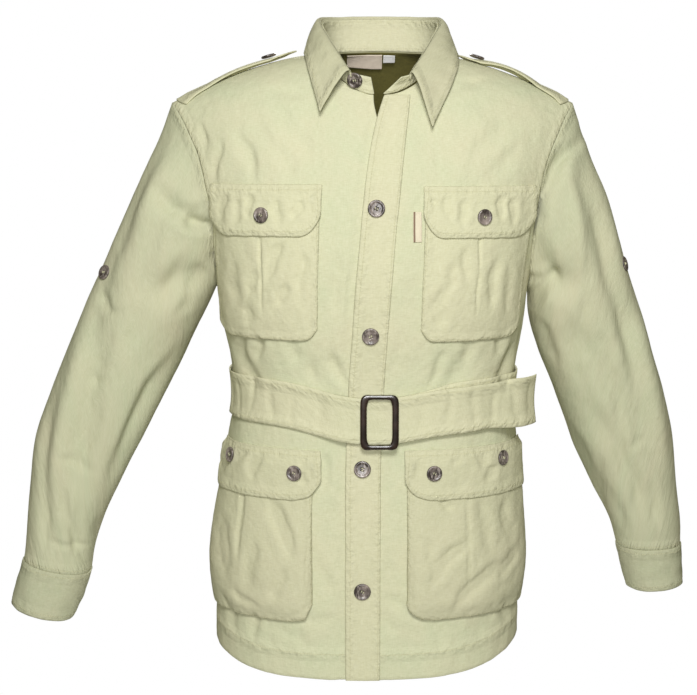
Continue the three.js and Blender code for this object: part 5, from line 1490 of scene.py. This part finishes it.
# Buttons: a turned profile with four sewn holes. rings are (share of radius, height)
buttonSet = {
    "front": 19.6, "small": 18.0, "around": 40, "hole": 0.95, "holeAway": 0.19, "holeDepth": 1.4,
    "holeSlope": 0.35, "holeShade": 0.9, "rimShade": 0.35, "rimFrom": 0.93, "rimOver": 0.07,
    "topFrom": 5, "topRings": 17, "thread": 0.45, "threadRise": 1.15, "threadSunk": 0.5,
    "clear": 0.3, "chestClear": 0.8, "strapClear": 1.2, "standClear": 0.6, "cuffClear": 1.6,
    "rings": [(0, 0), (0.82, 0), (0.94, 0.3), (1, 0.95), (1, 1.9), (0.965, 2.5), (0.9, 2.85), (0.82, 2.9),
              (0.74, 2.65), (0.66, 2.3), (0.58, 2.15), (0, 2.05)],
}


def axesFor(normal):  # level right and the up that goes with it
    right = unit(np.cross(np.array([0, 0, 1.0]), normal))
    return right, np.cross(normal, right)


# Rings at share * radius and their height, with four pits sunk in the top at turn + quarter turns
def addButton(node, placed, lift, size, turn=0.3):
    centre, normal = placed[0].reshape(3), placed[1].reshape(3)
    centre = centre + normal * lift
    right, up = axesFor(normal)
    b, radius = buttonSet, buttonSet[size] / 2
    rings = np.array(b["rings"], float)
    fine = np.concatenate([np.linspace(k, k + 1, 2, endpoint=False) for k in range(len(rings) - 2)])
    fine = np.concatenate([fine, np.linspace(len(rings) - 2, len(rings) - 1, b["topRings"])])[1:-1]
    share = np.interp(fine, range(len(rings)), rings[:, 0])
    height = np.interp(fine, range(len(rings)), rings[:, 1])
    angle = np.arange(b["around"]) * 2 * math.pi / b["around"]
    out, turnBy = np.meshgrid(share * radius, angle, indexing="ij")
    x, y = out * np.cos(turnBy), out * np.sin(turnBy)
    z = np.repeat(height[:, None], len(angle), axis=1)
    away = b["holeAway"] * radius
    angles = [turn + k * math.pi / 2 for k in range(4)]
    holes = [(away * math.cos(angle), away * math.sin(angle)) for angle in angles]
    pit = sum(smooth((b["hole"] - np.hypot(x - hx, y - hy)) / b["holeSlope"]) for hx, hy in holes)
    top = (fine > b["topFrom"])[:, None]
    z = z - np.where(top, pit * b["holeDepth"], 0)
    # Painted shade towards the rim and in the pits
    rim = b["rimShade"] * ramp(share[:, None], b["rimFrom"], b["rimOver"])
    shade = np.where(top, pit * b["holeShade"], 0) + rim
    local = np.stack([x, y, z], -1).reshape(-1, 3)
    local = np.concatenate([local, [[0, 0, 0], [0, 0, rings[-1, 1]]]])
    places = centre + local @ np.stack([right, up, normal])
    count, around = len(fine), b["around"]
    index = np.arange(count * around).reshape(count, around)
    nextOne = np.roll(index, -1, axis=1)
    quads = np.stack([index[:-1], nextOne[:-1], nextOne[1:], index[1:]], -1).reshape(-1, 4)
    caps = [np.stack([index[0], nextOne[0], np.full(around, len(local) - 2)], -1),
            np.stack([nextOne[-1], index[-1], np.full(around, len(local) - 1)], -1)]
    faces = np.concatenate([quads[:, [0, 1, 2]], quads[:, [0, 2, 3]]] + [cap[:, [1, 0, 2]] for cap in caps])
    if not turnedOut(places, faces):
        faces = faces[:, ::-1]
    piece = meshFrom(node + "_turned", places, faces, None, hornFinish)
    values = np.concatenate([np.broadcast_to(shade, x.shape).ravel(), [0, 0]]).astype(np.float32)
    piece.data.attributes.new("shade", "FLOAT", "POINT").data.foreach_set("value", values)
    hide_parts(node)
    run = np.linspace(0, 1, 9)[:, None]
    for k in (0, 1):
        flat = np.array(holes[k]) * (1 - run) + np.array(holes[3 - k]) * run
        arch = np.sin(np.clip(run, 0, 1) * math.pi) ** 0.6
        rise = rings[-1, 1] - b["threadSunk"] + b["threadRise"] * arch
        line = centre + np.concatenate([flat, rise], 1) @ np.stack([right, up, normal])
        buttonThreads.append(tubePoints(line, b["thread"], 6))


buttonThreads = []


# A closed tube along a line, its ends drawn in to a point
def tubePoints(line, radius, sides):
    along = unit(np.gradient(line, axis=0))
    right = unit(np.cross(along, np.array([0.31, 0.17, 0.93])))
    up = np.cross(along, right)
    angle = np.arange(sides) * 2 * math.pi / sides
    ring = right[:, None] * np.cos(angle)[None, :, None] + up[:, None] * np.sin(angle)[None, :, None]
    places = (line[:, None] + ring * radius).reshape(-1, 3)
    count = len(line)
    index = np.arange(count * sides).reshape(count, sides)
    nextOne = np.roll(index, -1, axis=1)
    a, b, c, d = index[:-1], nextOne[:-1], nextOne[1:], index[1:]
    faces = [np.stack([a, b, c], -1).reshape(-1, 3), np.stack([a, c, d], -1).reshape(-1, 3)]
    last = count * sides
    faces += [np.stack([nextOne[0], index[0], np.full(sides, last)], -1),
              np.stack([index[-1], nextOne[-1], np.full(sides, last + 1)], -1)]
    places = np.concatenate([places, line[:1], line[-1:]])
    faces = np.concatenate(faces)
    return places, (faces if turnedOut(places, faces) else faces[:, ::-1])


def joined(parts):  # several meshes as one, each one's faces counted on from the last
    places, faces, made = [], [], 0
    for p, f in parts:
        places.append(p)
        faces.append(f + made)
        made += len(p)
    return np.concatenate(places), np.concatenate(faces)


frontButtons = [(2, -177), (-4, -320), (-13, -475), (-13, -618)]


# Buttons of the front, stand, sleeves and cuffs, each lifted off the cloth that it is sewn on
def makeFrontButtons():
    for index, (x, z) in enumerate(frontButtons):
        placed = frontPlace(np.array([float(x)]), np.array([float(z)]))
        lift = placketSet["lift"] + wall + buttonSet["clear"]
        addButton(f"front_button_{index + 1}", placed, lift, "front", 0.3 + index)
    stand = standPlace(np.array([standSet["buttonAlong"]]), np.array([standSet["buttonUp"]]))
    addButton("stand_button", stand, buttonSet["standClear"], "small", 1.0)
    for name, sleeveStep in (("right", 3.55), ("left", 3.4)):
        for node, rings, bends, turn, step, lift in (
                ("sleeve_button_", sleeves[name], sleeveFolds[name], 27, sleeveStep, buttonSet["clear"]),
                ("cuff_button_", cuffs[name], [], 300, 1.1, buttonSet["cuffClear"])):
            surface = lambda a, b: sleevePoint(rings, bends, None, a, b)
            a, b = np.array([float(turn)]), np.array([float(step)])
            place = surface(a, b)
            normal = normalOf(surface, a, b, 4, 0.08, place - surface(a + 180, b))
            addButton(node + name, (place, normal), lift, "small", 0.8)


# Strap: from strapBow to strapBow + wall. Button: strapClear above that.
def makeStraps():
    for name, p in straps.items():
        bow = lambda s, r: strapBow(p, s)
        sewnPiece("epaulette_" + name, lambda s, r: strapPlace(p, s, r), 90, 40,
                  lambda s, r: bow(s, r) + wall, bow, [("first", 5), ("last", 5), ("right", 5)], "strap")
        share = np.array([(strapSet["start"] - strapSet["button"]) / (strapSet["start"] - p["tip"])])
        addButton("epaulette_button_" + name, strapPlace(p, share, np.array([0.5])),
                  strapBow(p, share)[0] + wall + buttonSet["strapClear"], "small")


# Belt: beltLayer + beltRelief. Loops: loopGap + high * smooth(9 r) * smooth(9 (1 - r))
def makeBelt():
    turnOf = lambda s: belt["start"] + (belt["end"] - belt["start"]) * s
    layer = lambda s, r: beltLayer(turnOf(s)) + beltRelief(turnOf(s), r)
    sewnPiece("belt", beltPlace, belt["columns"], belt["rows"],
              lambda s, r: layer(s, r) + belt["thick"], layer,
              [("first", 4), ("last", 4), ("right", 4)], "belt", turned=True)
    high = belt["under"] + belt["thick"] + belt["loopClear"]
    wide, length = belt["loopWide"], belt["width"] + belt["loopLonger"]
    bow = lambda s, r: belt["loopGap"] + high * smooth(r * 9) * smooth((1 - r) * 9)
    for name, turn in (("right", -belt["loopAt"]), ("left", belt["loopAt"])):
        place = lambda s, r: torsoPlace(turn + (s - 0.5) * wide, beltMiddle(turn) + length * (0.5 - r))
        sewnPiece("belt_loop_" + name, place, 10, 60, lambda s, r: bow(s, r) + wall, bow,
                  [("left", 2), ("right", 2)], "belt")


# Stand from lift - wall to lift. Leaf half a wall to each side of its waves
def makeCollar():
    sewnPiece("collar_stand", standPlace, 150, 24, standSet["lift"], standSet["lift"] - wall,
              [("last", 3), ("first", 3)], "collar")
    waves = lambda s, r: crumpled(leafPoint(s, r), leafWaves) * smooth(r * 4)
    # The leaf is a darker copy of the cotton, as painted shade
    sewnPiece("collar_leaf", leafPlace, 170, 64, lambda s, r: waves(s, r) + wall / 2,
              lambda s, r: waves(s, r) - wall / 2, [("last", 6), ("left", 6), ("right", 6)], "collar",
              shadeGain=0.87)


# The buckle: a squared section carried round a rounded rectangle, with a bar behind it
buckle = {
    "width": 44, "height": 63, "side": 7.5, "ends": 5, "thick": 4, "square": 7, "turn": 0.9, "lift": 2.4,
    "bar": 1.4, "behind": 6.4, "section": 0.62,
}


# Path: half * cos(u)^(2/square) by half * sin(u)^(2/square) in even steps. Section the same, by its power.
def makeBuckle():
    b = buckle
    height = np.array([float(beltMiddle(b["turn"]))])
    centre, normal = torsoPlace(np.array([b["turn"]]), height)
    centre, normal = centre[0], unit(normal[0] * np.array([1, 1, 0]))
    right = np.cross(np.array([0, 0, 1.0]), normal)
    centre = centre + normal * (belt["over"] + belt["thick"] + b["lift"])
    u = np.linspace(0, 2 * math.pi, 176, endpoint=False)
    half = np.array([(b["width"] - b["side"]) / 2, (b["height"] - b["ends"]) / 2])
    power = 2 / b["square"]
    path = np.stack([half[0] * swell(np.cos(u), power), half[1] * swell(np.sin(u), power)], -1)
    lengths = np.linalg.norm(np.diff(np.vstack([path, path[:1]]), axis=0), axis=1)
    even = np.concatenate([[0], np.cumsum(lengths)])
    steps = np.linspace(0, even[-1], 160, endpoint=False)
    path = np.stack([np.interp(steps, even, np.append(path[:, k], path[0, k])) for k in (0, 1)], -1)
    along = unit(np.roll(path, -1, axis=0) - np.roll(path, 1, axis=0))
    outward = np.stack([along[:, 1], -along[:, 0]], -1)
    wide = (b["side"] * np.abs(outward[:, 0]) + b["ends"] * np.abs(outward[:, 1])) / 2
    v = np.linspace(0, 2 * math.pi, 24, endpoint=False)
    spread, rise = swell(np.cos(v), b["section"]), swell(np.sin(v), b["section"])
    flat = path[:, None] + outward[:, None] * (wide[:, None] * spread[None])[..., None]
    level = np.broadcast_to(b["thick"] / 2 * (1 + rise[None]), flat.shape[:2])
    local = np.concatenate([flat, level[..., None]], -1).reshape(-1, 3)
    frameOf = np.stack([right, np.array([0, 0, 1.0]), normal])
    index = np.arange(len(local)).reshape(len(path), len(v))
    a, n = index, np.roll(index, -1, axis=0)
    quads = np.stack([a, n, np.roll(n, -1, axis=1), np.roll(a, -1, axis=1)], -1).reshape(-1, 4)
    faces = np.concatenate([quads[:, [0, 1, 2]], quads[:, [0, 2, 3]]])
    ring = centre + local @ frameOf
    if not turnedOut(ring, faces):
        faces = faces[:, ::-1]
    reach, behind = (b["height"] - b["ends"]) / 2, -b["behind"]
    bend = [(0, reach, 1), (0, reach, behind + 1.5), (0, reach - 1.2, behind),
            (0, -reach + 1.2, behind), (0, -reach, behind + 1.5), (0, -reach, 1)]
    run = np.linspace(0, 5, 60)
    line = np.stack([np.interp(run, range(6), np.array(bend, float)[:, k]) for k in range(3)], -1)
    bar = tubePoints(centre + line @ frameOf, b["bar"], 10)
    places, faces = joined([(ring, faces), bar])
    piece = meshFrom("buckle_frame", places, faces, None, buckleFinish)
    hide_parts("buckle")


labels = {
    "neck_label": {"left": -31, "right": 12, "drop": 15, "inside": 3.9, "pale": "f0e2d0", "shadow": "cbb59c"},
    "size_label": {"left": 14, "right": 28, "drop": 8, "inside": 4.6, "pale": "ffffff", "shadow": "e4e0d8"},
}
tab = {"left": 43.5, "right": 52.5, "top": -181, "low": -214, "lift": 0.5}
labelThick = {"neck": 0.8, "tab": 0.9, "sewn": 0.6}


# Neck labels hang from the back neck: turn and height of the edge at x, less drop * r
def makeLabels():
    for name, p in labels.items():
        def place(s, r):
            x = p["left"] + (p["right"] - p["left"]) * s
            share = np.arccos(np.clip((body["neckMiddle"] - x) / body["neckHalf"], -1, 1)) / math.pi
            turn, height = backNeck(share)
            return torsoPlace(turn, height - labelThick["sewn"] - p["drop"] * r)

        finish = makeLabel(name + "_weave", p["pale"], p["shadow"])
        sewnPiece(name, place, 40, 18, -p["inside"], -p["inside"] - labelThick["neck"], material=finish)
    finish = makeLabel("pocket_tab_weave", "e2d8c0", "b5a78c", "6a4a33")
    wide, tall = tab["right"] - tab["left"], tab["low"] - tab["top"]
    place = lambda s, r: frontPlace(tab["left"] + wide * s, tab["top"] + tall * r)
    lift = tab["lift"]
    sewnPiece("pocket_tab_label", place, 12, 40, lift + labelThick["tab"], lift, material=finish)


makeBody()
print("body done")
for pocketName, pocketRow in chestPockets.items():
    makeChestPocket(pocketName, pocketRow)
for pocketName, pocketRow in lowerPockets.items():
    makeLowerPocket(pocketName, pocketRow)
print("pockets done")
makeFrontButtons()
makeStraps()
makeBelt()
makeCollar()
makeBuckle()
makeLabels()
print("belt, straps, collar and labels done")
for groupName in threadRuns:
    makeStitching(groupName)
threadPlaces, threadFaces = joined(buttonThreads)
meshFrom("button_thread", threadPlaces, threadFaces, None, threadFinish)
print("stitching done")

# Studio: a pale floor that fades out to white, and soft light
studio = {
    "floor": -1.05, "radius": 1.6, "fadeFrom": 0.3, "fadeTo": 0.6, "pale": (0.92, 0.92, 0.92, 1),
    "white": 1.0, "ambient": 0.12, "tint": (1, 0.975, 0.48, 1),
}


# White that turns clear: share = (distance - fadeFrom) / (fadeTo - fadeFrom)
def makeFloor(c):
    at = (0, 0, c["floor"])
    bpy.ops.mesh.primitive_circle_add(vertices=96, radius=c["radius"], fill_type="NGON", location=at)
    floor = bpy.context.object
    floor.name = "floor"
    finish = Finish("pale_floor", Roughness=0.8)
    finish.shader.inputs["Base Color"].default_value = c["pale"]
    x, y, _ = finish.parts(finish.node("ShaderNodeTexCoord", output=3))
    away = (x * x + y * y) ** 0.5
    clear = finish.tree.nodes.new("ShaderNodeBsdfTransparent")
    mix = finish.tree.nodes.new("ShaderNodeMixShader")
    share = ((away - c["fadeFrom"]) / (c["fadeTo"] - c["fadeFrom"])).most(0.0).least(1.0)
    finish.tree.links.new(share.socket, mix.inputs[0])
    finish.tree.links.new(finish.shader.outputs[0], mix.inputs[1])
    finish.tree.links.new(clear.outputs[0], mix.inputs[2])
    end = next(n for n in finish.tree.nodes if n.type == "OUTPUT_MATERIAL")
    finish.tree.links.new(mix.outputs[0], end.inputs["Surface"])
    floor.data.materials.append(finish.material)


# The camera sees plain white, and the jacket is lit by a dim warm tint
def makeWorld(c):
    world = bpy.data.worlds.new("studio")
    scene.world = world
    world.use_nodes = True
    tree = world.node_tree
    seen, lit = tree.nodes["Background"], tree.nodes.new("ShaderNodeBackground")
    seen.inputs["Color"].default_value = (1, 1, 1, 1)
    seen.inputs["Strength"].default_value = c["white"]
    lit.inputs["Color"].default_value = c["tint"]
    lit.inputs["Strength"].default_value = c["ambient"]
    rays, mix = tree.nodes.new("ShaderNodeLightPath"), tree.nodes.new("ShaderNodeMixShader")
    tree.links.new(rays.outputs["Is Camera Ray"], mix.inputs[0])
    tree.links.new(lit.outputs[0], mix.inputs[1])
    tree.links.new(seen.outputs[0], mix.inputs[2])
    tree.links.new(mix.outputs[0], tree.nodes["World Output"].inputs[0])


lamps = {
    "key": {"place": (0.02, -2.3, 1.15), "size": 0.8, "power": 51},
    "fill": {"place": (-0.1, -2.5, -0.05), "size": 0.7, "power": 29},
    "back": {"place": (0.0, 2.5, 0.7), "size": 0.9, "power": 84},
}
aim = (0, 0, -0.32)


# Each lamp faces aim
def makeLamps():
    for name, c in lamps.items():
        data = bpy.data.lights.new(name, "AREA")
        data.shape, data.size, data.energy = "DISK", c["size"], c["power"]
        lamp = bpy.data.objects.new(name, data)
        lamp.location = c["place"]
        way = Vector(aim) - Vector(c["place"])
        lamp.rotation_euler = way.to_track_quat("-Z", "Y").to_euler()
        scene.collection.objects.link(lamp)


makeFloor(studio)
makeWorld(studio)
makeLamps()
scene.view_settings.view_transform = "Standard"
print("studio done")

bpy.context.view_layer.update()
for cutName, cutRow in cutSizes.items():
    print("cut", cutName, "%.3f x %.3f m, %.4f m2" % cutRow)
